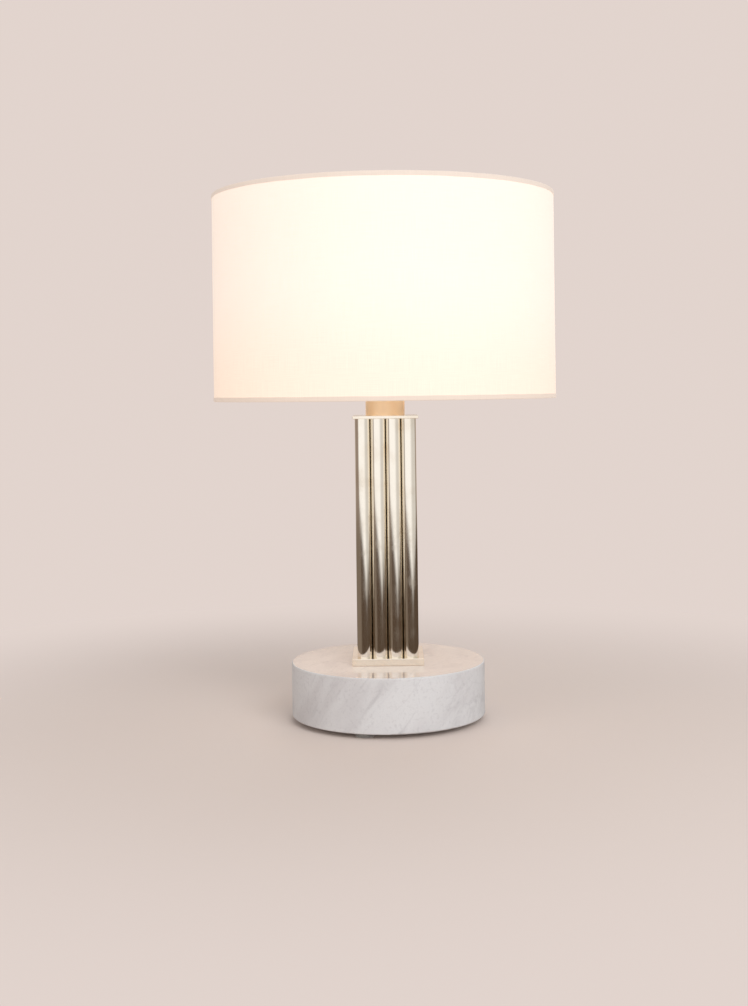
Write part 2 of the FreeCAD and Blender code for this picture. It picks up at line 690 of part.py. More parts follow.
def build_plate(name, side, thickness, bottom, hole, seat_level, seat_depth, upwards):
    """Make a square plate with a centre hole and a seat for each tube."""
    body = new_body(name)
    sketch = new_sketch(body, "XY_Plane", bottom)
    draw_outline(sketch, square(side))
    draw_circle(sketch, hole)
    add_pad(body, sketch, thickness)
    half = value(side) / 2
    ease_edges(body, "Chamfer", "plate_edge",
               lambda edge: max(abs(edge.CenterOfMass.x), abs(edge.CenterOfMass.y)) > half - 1e-6)
    seats = new_sketch(body, "XY_Plane", seat_level)
    for x, y in tube_places():
        draw_circle(seats, "tube_diameter + 2 * seat_gap", x, y)
    add_pocket(body, seats, seat_depth, upwards)
    return node(body, name)


def build_column():
    build_plate("base_plate", "base_plate_side", "base_plate_thickness", "disc_top", "thread_hole",
                "base_plate_top", "low_seat_depth", False)
    build_plate("top_plate", "top_plate_side", "top_plate_thickness", "column_top", "thread_hole",
                "column_top", "high_seat_depth", True)
    for number, (x, y) in enumerate(tube_places(), start=1):
        body = new_body(f"tube_{number:02d}")
        sketch = new_sketch(body, "XY_Plane", "base_plate_top - low_seat_depth")
        draw_circle(sketch, "tube_diameter", x, y)
        draw_circle(sketch, "tube_diameter - 2 * tube_wall", x, y)
        add_pad(body, sketch, "low_seat_depth + column_height + high_seat_depth")
        node(body, body.Name)


# ---------------------------------------------------------------------------------------------------------
# Lampholder and switch
# ---------------------------------------------------------------------------------------------------------

def build_lampholder_cap():
    cup = turned("cap_cup", [
        ("thread_hole / 2", "top_plate_top"),
        ("cap_radius", "top_plate_top"),
        ("cap_radius", "cap_top"),
        ("cap_bore_radius", "cap_top"),
        ("cap_bore_radius", "cap_ledge"),
        ("cap_low_bore_radius", "cap_ledge"),
        ("cap_low_bore_radius", "cap_floor_top"),
        ("thread_hole / 2", "cap_floor_top"),
    ])
    bar_way = cylinder("cap_bar_way", "bar_diameter + 2 * bar_gap", "cap_diameter",
                       x="-cap_radius", z="bar_level", along="X")
    node(cut("lampholder_cap", cup, [bar_way]), "lampholder_cap")


def build_lampholder_insert():
    plug = turned("insert_plug", [
        ("0", "insert_bottom"),
        ("cap_low_bore_radius - insert_gap", "insert_bottom"),
        ("cap_low_bore_radius - insert_gap", "cap_ledge"),
        ("cap_bore_radius - insert_gap", "cap_ledge"),
        ("cap_bore_radius - insert_gap", "insert_top"),
        ("0", "insert_top"),
    ])
    slot_side = "carriage_side + 2 * slot_gap"
    slot = block("insert_slot", "2 * slot_half_length", slot_side,
                 f"bar_level + ({slot_side}) / 2 - insert_bottom", z="insert_bottom")
    bar_way = cylinder("insert_bar_way", "bar_diameter + 2 * bar_gap", "cap_diameter",
                       x="-cap_radius", z="bar_level", along="X")
    node(cut("lampholder_insert", plug, [slot, bar_way]), "lampholder_insert")
    node(turned("screw_shell", [
        ("shell_bore / 2 - shell_lip", "insert_top"),
        ("shell_bore / 2 + shell_wall", "insert_top"),
        ("shell_bore / 2 + shell_wall", "insert_top + shell_height"),
        ("shell_bore / 2", "insert_top + shell_height"),
        ("shell_bore / 2", "insert_top + shell_wall"),
        ("shell_bore / 2 - shell_lip", "insert_top + shell_wall"),
    ]), "screw_shell")
    build_tongue()
    build_posts()


def build_tongue():
    """Make the bent brass strip that meets the bulb's tip."""
    body = new_body("centre_contact")
    sketch = new_sketch(body, "XZ_Plane", "-tongue_width / 2")
    foot = "tongue_reach / 2"
    draw_outline(sketch, [
        ("tongue_reach", "insert_top"),
        ("tongue_reach", "insert_top + tongue_thickness"),
        (f"{foot} + tongue_thickness", "insert_top + tongue_thickness"),
        ("tongue_reach / 3", "bulb_tip"),
        ("-tongue_reach / 3", "bulb_tip"),
        ("-tongue_reach / 3", "bulb_tip - tongue_thickness"),
        ("tongue_reach / 3 - tongue_thickness", "bulb_tip - tongue_thickness"),
        (foot, "insert_top"),
    ])
    add_pad(body, sketch, "tongue_width")
    node(body, "centre_contact")


def post_places():
    """List the two terminal posts under the insert as name, x, y and the turn of their wire hole."""
    x = "post_circle * sin(post_turn)"
    y = "post_circle * cos(post_turn)"
    return [("live", f"-{x}", y, 90), ("neutral", x, f"-{y}", -90)]


def build_posts():
    posts = []
    screws = []
    for pole, x, y, quarter in post_places():
        solid = cylinder(pole + "_post_solid", "post_diameter", "post_height", x=x, y=y, z="post_bottom")
        wire_hole = cylinder(pole + "_post_hole", "lead_diameter + 2 * screw_gap", "post_diameter",
                             x=x, y=y, z="post_level", along="X")
        turn = FreeCAD.Rotation(Z_AXIS, quarter + value("post_turn"))
        wire_hole.Placement = FreeCAD.Placement(wire_hole.Placement.Base, turn.multiply(TURNS["X"]))
        outward = "post_diameter / 2 / post_circle"
        place(wire_hole, f"{x} * (1 - {outward})", f"{y} * (1 - {outward})", "post_level")
        screw_hole = cylinder(pole + "_post_thread", "post_screw + 2 * thread_gap", "post_height / 2",
                              x=x, y=y, z="post_bottom")
        posts.append(cut(pole + "_post", solid, [wire_hole, screw_hole]))
        shank = cylinder(pole + "_post_shank", "post_screw", "post_height / 2 - lead_diameter / 2",
                         x=x, y=y, z="post_bottom")
        head = cylinder(pole + "_post_head", "post_screw_head", "post_screw / 2",
                        x=x, y=y, z="post_bottom - post_screw / 2")
        screws.append(fused(pole + "_post_screw", [shank, head]))
    group("terminal_posts", posts)
    group("post_screws", screws)


def build_skirt():
    """Make the threaded skirt that holds the insert down and carries the shade rings."""
    node(turned("lampholder_skirt", [
        ("skirt_bore_radius", "insert_top"),
        ("cap_bore_radius - skirt_spigot_gap", "insert_top"),
        ("cap_bore_radius - skirt_spigot_gap", "cap_top"),
        ("skirt_diameter / 2", "cap_top"),
        ("skirt_diameter / 2", "skirt_top"),
        ("skirt_bore_radius", "skirt_top"),
    ]), "lampholder_skirt")


def build_shade_ring(name, bottom):
    """Make a threaded ring with grip notches round its rim."""
    body = new_body(name)
    sketch = new_sketch(body, "XY_Plane", bottom)
    draw_circle(sketch, "ring_diameter")
    draw_circle(sketch, "skirt_diameter + 2 * thread_gap")
    add_pad(body, sketch, "ring_height")
    notch_sketch = new_sketch(body, "XY_Plane", f"{bottom} + ring_height")
    draw_circle(notch_sketch, "knurl_width", "ring_diameter / 2")
    notch = add_pocket(body, notch_sketch, "ring_height")
    around_axis(body, [notch], "knurl_count")
    node(body, name)


def build_switch():
    """Make the push-through bar, shown pushed to +X, and the slider on it."""
    bar = cylinder("bar_solid", "bar_diameter", "2 * bar_half_reach - bar_travel",
                   x="-bar_half_reach + bar_travel", z="bar_level", along="X")
    doc.recompute()
    rims = [(i, value("bar_dome"), value("bar_dome"))
            for i, edge in enumerate(bar.Shape.Edges, start=1) if len(edge.Vertexes) == 1]
    rounded = doc.addObject("Part::Fillet", "bar_rounded")
    rounded.Base = bar
    rounded.Edges = rims
    node(rounded, "switch_bar")
    slider = block("slider_block", "carriage_length", "carriage_side", "carriage_side",
                   x="slot_half_length - stop_gap - carriage_length / 2",
                   z="bar_level - carriage_side / 2")
    way = cylinder("slider_way", "bar_diameter + 2 * thread_gap", "2 * slot_half_length",
                   x="-slot_half_length", z="bar_level", along="X")
    node(cut("switch_slider", slider, [way]), "switch_slider")


# ---------------------------------------------------------------------------------------------------------
# Inner leads
# ---------------------------------------------------------------------------------------------------------

def lead_in_rod(pole_x, sideways, post):
    """List a lead's points from its pole, under the rod's mouth, up the rod and out to its post."""
    inner_face = value("block_centre - block_depth / 2")
    pole_level = value("pole_level")
    under = value("ledge_level + rod_bottom - bush_flange") / 2 - value("lead_diameter") / 2
    post_level = value("post_level")
    up = post * (value("lead_spread") / post.Length)
    return [
        Vector(pole_x, inner_face + 3, pole_level),
        Vector(pole_x, inner_face - 6, pole_level),
        Vector(sideways, inner_face / 2, under + 0.5),
        Vector(up.x, up.y, under),
        Vector(up.x, up.y, post_level),
        Vector(post.x, post.y, post_level),
    ]


def build_leads():
    diameter = value("lead_diameter")
    largest = 3 * diameter
    poles = {name: value(x) for name, x in pole_places()}
    for side, (pole, x, y, _) in zip((-1, 1), post_places()):
        points = lead_in_rod(poles[pole], side * 1.8 * diameter, Vector(value(x), value(y), 0))
        add_lead(pole + "_lead", points, diameter, largest)
    barrel_level = value("strip_bottom - earth_barrel / 2")
    barrel_end = value("earth_ring_diameter / 2 + earth_barrel_length")
    place_y = -value("earth_place")
    low = value("pole_level")
    inner_face = value("block_centre - block_depth / 2")
    outside = value("washer_diameter / 2 + 2 * lead_diameter")
    add_lead("earth_lead", [
        Vector(poles["earth"], inner_face + 3, low),
        Vector(poles["earth"], inner_face - 7, low),
        Vector(outside + 1, inner_face - 19, low - 2),
        Vector(outside + 3, place_y / 2 + 3, low),
        Vector(outside + 2, place_y, barrel_level),
        Vector(barrel_end - 4, place_y, barrel_level),
    ], diameter, largest)


def add_lead(name, points, diameter, largest):
    solid, radii, length = rod_along(points, diameter, largest)
    lead = doc.addObject("Part::Feature", name)
    lead.Shape = solid
    node(lead, name)
    print(f"{name}: {length:.1f} long, bends of", ", ".join(f"{radius:.1f}" for radius in radii))


# ---------------------------------------------------------------------------------------------------------
# Shade
# ---------------------------------------------------------------------------------------------------------

def build_wire_ring(name, level):
    ring = doc.addObject("Part::Torus", name)
    ring.setExpression("Radius1", formula("wire_circle"))
    ring.setExpression("Radius2", formula("wire_diameter / 2"))
    return node(place(ring, z=level), name)


def build_spider():
    """Make the frame that is brazed together: fitter ring, lower wire ring and the arms between them."""
    fitter = disc_with_hole("shade_fitter", "fitter_diameter", "fitter_bore", "fitter_bottom",
                            "fitter_thickness")
    wire = build_wire_ring("bottom_wire_ring", "low_wire_level")
    doc.recompute()
    level = value("fitter_bottom + fitter_thickness / 2")
    wire_level = value("low_wire_level")
    wire_circle = value("wire_circle")
    knee = wire_circle - (level - wire_level)
    short_of_wire = value("wire_diameter / 5")
    arm, _, _ = rod_along([
        Vector(value("arm_start"), 0, level),
        Vector(knee, 0, level),
        Vector(wire_circle - short_of_wire, 0, wire_level + short_of_wire),
    ], value("arm_diameter"), value("arm_bend"))
    arms = []
    for number in range(count("arm_count")):
        placed = arm.copy()
        placed.rotate(Vector(), Z_AXIS, 90 + 360 * number / count("arm_count"))
        arms.append(placed.cut([fitter.Shape, wire.Shape]).Solids[0])
    spider = doc.addObject("Part::Feature", "spider_arms")
    spider.Shape = Part.Compound(arms)
    node(spider, "spider_arms")


def build_shade():
    build_spider()
    build_wire_ring("top_wire_ring", "high_wire_level")
    wall_bottom = "shade_bottom + hem_thickness"
    wall_height = "shade_height - 2 * hem_thickness"
    disc_with_hole("shade_fabric", "shade_diameter", "2 * fabric_inner_radius", wall_bottom, wall_height)
    disc_with_hole("shade_liner", "2 * liner_outer_radius", "2 * liner_inner_radius", wall_bottom,
                   wall_height)
    for name, edge, inward in (("bottom_hem", "shade_bottom", "+"), ("top_hem", "shade_top", "-")):
        node(turned(name, [
            ("hem_inner_radius", edge),
            ("hem_outer_radius", edge),
            ("hem_outer_radius", f"{edge} {inward} hem_width"),
            ("shade_diameter / 2", f"{edge} {inward} hem_width"),
            ("shade_diameter / 2", f"{edge} {inward} hem_thickness"),
            ("hem_inner_radius", f"{edge} {inward} hem_thickness"),
        ]), name)
    inner = value("shade_diameter / 2")
    outer = value("shade_diameter / 2 + seam_thickness")
    bottom = value("shade_bottom + hem_width")
    height = value("shade_height - 2 * hem_width")
    angle = math.degrees(value("seam_width") / inner)
    lap = Part.makeCylinder(outer, height, Vector(0, 0, bottom), Z_AXIS, angle)
    lap = lap.cut(Part.makeCylinder(inner, height, Vector(0, 0, bottom)))
    lap.rotate(Vector(), Z_AXIS, 90 - angle / 2)
    seam = doc.addObject("Part::Feature", "shade_seam")
    seam.Shape = lap
    node(seam, "shade_seam")


# ---------------------------------------------------------------------------------------------------------
# Bulb
# ---------------------------------------------------------------------------------------------------------

def bulb_form(inset):
    """Turn the bulb's glass outline, moved inwards by inset."""
    ball = value("bulb_diameter") / 2
    neck = value("bulb_neck") / 2
    flare = value("bulb_flare")
    bottom = value("glass_bottom")
    centre = value("bulb_top") - ball
    between = ball + flare
    across = neck + flare
    start = centre - math.sqrt(between ** 2 - across ** 2)
    ball -= inset
    neck -= inset
    flare += inset
    tilt = math.atan2(centre - start, across)
    meeting = Vector(ball * math.cos(tilt), 0, centre - ball * math.sin(tilt))
    flare_middle = Vector(across - flare * math.cos(tilt / 2), 0, start + flare * math.sin(tilt / 2))
    turn_to_top = (math.pi / 2 + tilt) / 2 - tilt
    ball_middle = Vector(ball * math.cos(turn_to_top), 0, centre + ball * math.sin(turn_to_top))
    edges = [
        Part.LineSegment(Vector(0, 0, bottom), Vector(neck, 0, bottom)).toShape(),
        Part.LineSegment(Vector(neck, 0, bottom), Vector(neck, 0, start)).toShape(),
        Part.Arc(Vector(neck, 0, start), flare_middle, meeting).toShape(),
        Part.Arc(meeting, ball_middle, Vector(0, 0, centre + ball)).toShape(),
        Part.LineSegment(Vector(0, 0, centre + ball), Vector(0, 0, bottom)).toShape(),
    ]
    return Part.Face(Part.Wire(edges)).revolve(Vector(), Z_AXIS, 360)


def build_bulb():
    glass = doc.addObject("Part::Feature", "bulb_glass")
    glass.Shape = bulb_form(0).cut(bulb_form(value("bulb_wall")))
    node(glass, "bulb_glass")
    inner = "bulb_cap_diameter / 2 - bulb_cap_wall"
    node(turned("bulb_cap", [
        ("bulb_cap_diameter / 2 - bulb_cap_slope - bulb_cap_wall", "bulb_cap_bottom"),
        ("bulb_cap_diameter / 2 - bulb_cap_slope", "bulb_cap_bottom"),
        ("bulb_cap_diameter / 2", "bulb_cap_bottom + bulb_cap_slope"),
        ("bulb_cap_diameter / 2", "bulb_cap_top"),
        (inner, "bulb_cap_top"),
        (inner, "bulb_cap_bottom + bulb_cap_slope"),
    ]), "bulb_cap")
    cone = doc.addObject("Part::Cone", "bulb_insulator")
    cone.setExpression("Radius1", formula("tip_diameter / 2"))
    cone.setExpression("Radius2", formula("bulb_cap_diameter / 2 - bulb_cap_slope"))
    cone.setExpression("Height", formula("insulator_height"))
    node(place(cone, z="insulator_bottom"), "bulb_insulator")
    node(cylinder("bulb_tip_contact", "tip_diameter", "tip_height", z="bulb_tip"), "bulb_tip_contact")
    build_stem()


def build_stem():
    """Make the glass stem with the wires that hold the light strips."""
    foot_radius = "bulb_neck / 2 - bulb_wall - glue_gap"
    stem = turned("stem_glass", [
        ("0", "glass_bottom"),
        (foot_radius, "glass_bottom"),
        (foot_radius, "glass_bottom + stem_foot"),
        ("stem_diameter / 2", "glass_bottom + 3 * stem_foot"),
        ("stem_diameter / 2", "bulb_cap_top + stem_height"),
        ("0", "bulb_cap_top + stem_height"),
    ])
    pieces = [stem]
    strips = []
    for number in range(count("filament_count")):
        turn = f"(45 + 360 * {number} / filament_count)"
        for end, level in (("low", "filament_bottom - anchor_diameter / 2"),
                           ("high", "filament_bottom + filament_length + anchor_diameter / 2")):
            wire = cylinder(f"anchor_{end}_{number}", "anchor_diameter",
                            "filament_circle + filament_diameter / 2", z=level, along="X")
            swing = FreeCAD.Rotation(Z_AXIS, value(turn))
            wire.Placement = FreeCAD.Placement(wire.Placement.Base, swing.multiply(TURNS["X"]))
            pieces.append(wire)
        strips.append(cylinder(f"strip_{number}", "filament_diameter", "filament_length",
                               x=f"filament_circle * cos{turn}", y=f"filament_circle * sin{turn}",
                               z="filament_bottom"))
    node(fused("bulb_stem", pieces), "bulb_stem")
    group("light_strips", strips)


# ---------------------------------------------------------------------------------------------------------
# The whole lamp
# ---------------------------------------------------------------------------------------------------------

def build_lamp():
    build_marble_base()
    build_foot_pads()
    build_underside()
    build_wiring_strip()
    build_terminal_block()
    build_rod()
    build_column()
    build_lampholder_cap()
    build_lampholder_insert()
    build_skirt()
    build_shade_ring("lower_shade_ring", "lower_ring_bottom")
    build_shade_ring("upper_shade_ring", "fitter_top")
    build_switch()
    build_leads()
    build_shade()
    build_bulb()


def check_and_write():
    """Stop if anything failed to build, then write each piece to its own file."""
    doc.recompute()
    for obj in doc.Objects:
        if "Invalid" in obj.State or "Error" in obj.State:
            raise ValueError(obj.Name + " failed: " + str(obj.State))
    os.makedirs("parts", exist_ok=True)
    for name, obj in sorted(nodes.items()):
        shape = obj.Shape
        if shape.isNull() or not shape.isValid() or not shape.Solids:
            raise ValueError(name + " has no valid solid")
        shape.exportStep("parts/" + name + ".step")
        print(f"{name}: {len(shape.Solids)} solid(s), {shape.Volume / 1000:.2f} cm3")


build_lamp()
check_and_write()
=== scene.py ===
"""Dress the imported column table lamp: finishes, cloth drum, rolled threads, stage, lights and camera.

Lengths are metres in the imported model's frame: +Z is up, z = 0 is the surface that the lamp stands on, and
the lamp's front faces -Y. Colours are linear.
"""
import json
import logging
import math
from collections.abc import Callable, Iterable, Mapping, Sequence
from dataclasses import dataclass
from enum import Enum

import bmesh
import bpy
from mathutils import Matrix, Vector

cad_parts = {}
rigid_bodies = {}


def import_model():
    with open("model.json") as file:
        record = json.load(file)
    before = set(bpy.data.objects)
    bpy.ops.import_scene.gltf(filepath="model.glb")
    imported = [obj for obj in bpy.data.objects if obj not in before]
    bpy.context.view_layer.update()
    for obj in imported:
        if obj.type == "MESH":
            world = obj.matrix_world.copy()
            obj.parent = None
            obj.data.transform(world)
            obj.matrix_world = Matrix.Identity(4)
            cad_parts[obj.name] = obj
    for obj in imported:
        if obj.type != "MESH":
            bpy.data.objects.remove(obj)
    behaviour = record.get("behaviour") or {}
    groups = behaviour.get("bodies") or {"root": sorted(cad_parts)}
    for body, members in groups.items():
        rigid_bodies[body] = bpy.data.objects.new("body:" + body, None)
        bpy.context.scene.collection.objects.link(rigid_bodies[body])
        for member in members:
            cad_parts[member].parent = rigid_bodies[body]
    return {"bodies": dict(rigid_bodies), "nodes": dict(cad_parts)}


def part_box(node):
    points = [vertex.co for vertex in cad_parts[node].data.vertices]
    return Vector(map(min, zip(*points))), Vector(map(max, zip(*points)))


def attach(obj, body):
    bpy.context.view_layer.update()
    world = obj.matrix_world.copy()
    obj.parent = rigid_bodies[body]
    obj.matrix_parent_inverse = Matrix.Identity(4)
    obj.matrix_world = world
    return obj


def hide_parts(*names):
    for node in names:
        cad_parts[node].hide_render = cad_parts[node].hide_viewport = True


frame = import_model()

log = logging.getLogger("column_lamp")

Colour = tuple[float, float, float]
Point = tuple[float, float, float]
Range = tuple[float, float]
Outline = list[tuple[float, float]]
Shape = tuple[list[Point], list[list[int]]]

MM = 0.001
SHARP = math.radians(40)
COLOUR_PARTS = 4
RADIUS_DIGITS = 5
# A Mix node's colour sockets, by number, because several of its sockets share a name.
MIX_FIRST, MIX_SECOND, MIX_RESULT = 6, 7, 2
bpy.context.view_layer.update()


# ---------------------------------------------------------------------------------------------------------
# Shader nodes
# ---------------------------------------------------------------------------------------------------------

class Nodes:
    """A node tree, with the one method that adds any node to it."""

    def __init__(self, tree: bpy.types.NodeTree) -> None:
        """Empty a tree, to be filled node by node."""
        self.tree = tree
        tree.nodes.clear()

    def add(self, kind: str, settings: Mapping[str, object] | None = None,
            values: Mapping[str | int, object] | None = None) -> bpy.types.Node:
        """Add a node.

        Args:
            kind: the node's type, without the words ShaderNode.
            settings: the node's own settings, which are set first.
            values: a socket's name or number, and the number, colour, Signal or socket that it gets.

        Returns:
            The new node.
        """
        made = self.tree.nodes.new("ShaderNode" + kind)
        for name, setting in (settings or {}).items():
            setattr(made, name, setting)
        self.feed(made, values or {})
        return made

    def feed(self, made: bpy.types.Node, values: Mapping[str | int, object]) -> None:
        """Give values or links to a node's sockets.

        Args:
            made: the node.
            values: a socket's name or number, and the number, colour, Signal or socket that it gets.
        """
        for socket, given in values.items():
            if isinstance(given, Signal):
                given = given.socket
            if isinstance(given, bpy.types.NodeSocket):
                self.tree.links.new(given, made.inputs[socket])
            elif isinstance(given, tuple) and len(made.inputs[socket].default_value) == COLOUR_PARTS:
                made.inputs[socket].default_value = (*given, 1.0)
            else:
                made.inputs[socket].default_value = given

    def place(self) -> bpy.types.NodeSocket:
        """Return the point's place on its own piece."""
        return self.add("TexCoord").outputs["Object"]

    def facing(self, axis: str) -> "Signal":
        """Return one part, X, Y or Z, of the direction that the surface faces."""
        return self.part(self.add("TexCoord").outputs["Normal"], axis)

    def part(self, vector: bpy.types.NodeSocket, axis: str) -> "Signal":
        """Return one part, X, Y or Z, of a vector."""
        return Signal(self, self.add("SeparateXYZ", values={0: vector}).outputs[axis])

    def radius(self, place: bpy.types.NodeSocket) -> "Signal":
        """Return a place's distance from the lamp's axis."""
        x, y = self.part(place, "X"), self.part(place, "Y")
        return (x * x + y * y) ** 0.5

    def joined(self, x: object, y: object, z: object) -> bpy.types.NodeSocket:
        """Join three numbers to a vector."""
        return self.add("CombineXYZ", values={0: x, 1: y, 2: z}).outputs[0]

    def stretched(self, vector: bpy.types.NodeSocket, by: Point) -> bpy.types.NodeSocket:
        """Multiply each part of a vector by its own number."""
        return self.add("VectorMath", {"operation": "MULTIPLY"}, {0: vector, 1: by}).outputs[0]

    def swung(self, vector: bpy.types.NodeSocket, angles: Point) -> bpy.types.NodeSocket:
        """Turn a vector by three angles."""
        return self.add("Mapping", values={"Vector": vector, "Rotation": angles}).outputs[0]

    def noise(self, vector: bpy.types.NodeSocket, scale: float, detail: float = 2.0,
              distortion: float = 0.0) -> "Signal":
        """Return smooth noise from 0 to 1.

        Args:
            vector: where the noise is read.
            scale: waves per metre of the vector.
            detail: how many finer layers it has.
            distortion: how much it swirls.

        Returns:
            The noise.
        """
        made = self.add("TexNoise", values={"Vector": vector, "Scale": scale, "Detail": detail,
                                            "Distortion": distortion})
        return Signal(self, made.outputs[0])

    def blend(self, mask: object, where_none: object, where_full: object,
              way: str = "MIX") -> bpy.types.NodeSocket:
        """Blend two colours.

        Args:
            mask: 0 for the first colour, 1 for the second.
            where_none: the first colour.
            where_full: the second colour.
            way: how they blend, such as MIX or MULTIPLY.

        Returns:
            The blended colour.
        """
        made = self.add("Mix", {"data_type": "RGBA", "blend_type": way},
                        {0: mask, MIX_FIRST: where_none, MIX_SECOND: where_full})
        return made.outputs[MIX_RESULT]

    def bump(self, height: "Signal", depth: float) -> bpy.types.NodeSocket:
        """Turn a height from 0 to 1 into relief of a given depth."""
        return self.add("Bump", values={"Distance": depth, "Height": height}).outputs[0]


class Signal:
    """A number that varies over a surface. Arithmetic on it adds Math nodes."""

    def __init__(self, nodes: Nodes, socket: bpy.types.NodeSocket) -> None:
        """Wrap an output socket."""
        self.nodes = nodes
        self.socket = socket

    def _made(self, operation: str, first: object, second: object = 0.0) -> "Signal":
        """Add a Math node."""
        made = self.nodes.add("Math", {"operation": operation}, {0: first, 1: second})
        return Signal(self.nodes, made.outputs[0])

    def __add__(self, other: object) -> "Signal":
        """Add."""
        return self._made("ADD", self, other)

    __radd__ = __add__

    def __sub__(self, other: object) -> "Signal":
        """Subtract."""
        return self._made("SUBTRACT", self, other)

    def __rsub__(self, other: object) -> "Signal":
        """Subtract this from a number."""
        return self._made("SUBTRACT", other, self)

    def __mul__(self, other: object) -> "Signal":
        """Multiply."""
        return self._made("MULTIPLY", self, other)

    __rmul__ = __mul__

    def __truediv__(self, other: object) -> "Signal":
        """Divide."""
        return self._made("DIVIDE", self, other)

    def __pow__(self, other: object) -> "Signal":
        """Raise to a power."""
        return self._made("POWER", self, other)

    def sine(self) -> "Signal":
        """Return the sine."""
        return self._made("SINE", self)

    def size(self) -> "Signal":
        """Return the number without its sign."""
        return self._made("ABSOLUTE", self)

    def angle_from(self, other: "Signal") -> "Signal":
        """Return the angle whose sine goes with this and whose cosine with the other."""
        return self._made("ARCTAN2", self, other)

    def rise(self, low: float, high: float) -> "Signal":
        """Make a smooth step.

        Args:
            low: up to this number, the step is 0.
            high: from this number on, it is 1.

        Returns:
            The step.
        """
        made = self.nodes.add("MapRange", {"interpolation_type": "SMOOTHSTEP"},
                              {0: self, 1: low, 2: high, 3: 0.0, 4: 1.0})
        return Signal(self.nodes, made.outputs[0])


# ---------------------------------------------------------------------------------------------------------
# Finishes
# ---------------------------------------------------------------------------------------------------------

@dataclass(frozen=True)
class Finish:
    """A surface's look. Each kind paints its own shader, and the material is made once."""

    name: str

    def paint(self, nodes: Nodes, shader: bpy.types.Node) -> None:
        """Set the shader's sockets, which each kind of finish does in its own way."""
        raise NotImplementedError

    def material(self) -> bpy.types.Material:
        """Make the finish's material, or find it when it's there already.

        Returns:
            The material.
        """
        made = bpy.data.materials.get(self.name)
        if made is None:
            made = bpy.data.materials.new(self.name)
            made.use_nodes = True
            nodes = Nodes(made.node_tree)
            shader = nodes.add("BsdfPrincipled")
            nodes.add("OutputMaterial", values={"Surface": shader.outputs[0]})
            self.paint(nodes, shader)
        return made


@dataclass(frozen=True)
class Marble(Finish):
    """White marble with soft grey streaks that climb to the right, a honed side and a polished top, on whose
    colour a warm glow of the bulb's light is painted.

    Waves are counted per metre, along the three directions in which the streaks lie.
    """

    pale: Colour = (0.73, 0.735, 0.745)
    cloud: Colour = (0.61, 0.60, 0.61)
    grey: Colour = (0.34, 0.33, 0.35)
    # Painted light: the bulb's warm light on the top, multiplied into the top's colour.
    painted_bulb_glow: Colour = (1.22, 0.93, 0.76)
    lie: Point = (0.3, math.radians(50), 0.5)
    cloud_waves: Point = (9, 16, 30)
    cloud_range: Range = (0.38, 0.70)
    cloud_share: float = 0.7
    streak_waves: Point = (11, 22, 75)
    streak_range: Range = (0.53, 0.76)
    streak_share: float = 0.34
    vein_waves: Point = (7, 12, 26)
    vein_width: float = 0.022
    vein_patches: Range = (0.45, 0.65)
    vein_share: float = 0.14
    speck_range: Range = (0.52, 0.72)
    speck_share: float = 0.17
    grain_range: Range = (0.55, 0.72)
    grain_share: float = 0.16
    grain_gloss: float = 0.12
    grain_depth: float = 0.03 * MM
    top_range: Range = (0.90, 0.98)
    painted_glow_share: float = 0.55
    top_coat: float = 0.25
    honed: float = 0.42
    polished: float = 0.10

    def paint(self, nodes: Nodes, shader: bpy.types.Node) -> None:
        """Paint clouds, streaks, a few sharper veins, crystal grain and a painted warm glow of the bulb's
        light on the top.

        Args:
            nodes: the material's nodes.
            shader: its shader.
        """
        place = nodes.place()
        lying = nodes.swung(place, self.lie)
        clouds = nodes.noise(nodes.stretched(lying, self.cloud_waves), scale=1.0, detail=5, distortion=0.6)
        streaks = nodes.noise(nodes.stretched(lying, self.streak_waves), scale=1.0, detail=6, distortion=0.9)
        folds = nodes.noise(nodes.stretched(lying, self.vein_waves), scale=1.0, detail=7, distortion=1.3)
        ridges = 1.0 - (folds - 0.5).size().rise(0.0, self.vein_width)
        veins = ridges * nodes.noise(place, scale=14).rise(*self.vein_patches)
        grain = nodes.noise(place, scale=1100)
        specks = nodes.noise(place, scale=330, detail=4)
        colour = nodes.blend(clouds.rise(*self.cloud_range) * self.cloud_share, self.pale, self.cloud)
        greys = ((streaks.rise(*self.streak_range), self.streak_share), (veins, self.vein_share),
                 (specks.rise(*self.speck_range), self.speck_share),
                 (grain.rise(*self.grain_range), self.grain_share))
        for mask, share in greys:
            colour = nodes.blend(mask * share, colour, self.grey)
        # Painted light: faces that look up are tinted warm, as if lit by the bulb; the same mask also gives
        # the top its real polish and coat.
        top = nodes.facing("Z").rise(*self.top_range)
        colour = nodes.blend(top * self.painted_glow_share, colour, self.painted_bulb_glow, "MULTIPLY")
        shine = self.honed + self.grain_gloss / 2 - self.polished
        nodes.feed(shader, {
            "Base Color": colour,
            "Roughness": self.honed + grain * self.grain_gloss - top * shine,
            "Coat Weight": top * self.top_coat,
            "Coat Roughness": 0.04,
            "Specular IOR Level": 0.5,
            "Normal": nodes.bump(grain * (1.0 - top), self.grain_depth),
        })


class Grain(Enum):
    """Which way the fine lines of a metal run."""

    DRAWN = "along the lamp's axis"
    TURNED = "round the lamp's axis"
    BUFFED = "in short strokes"


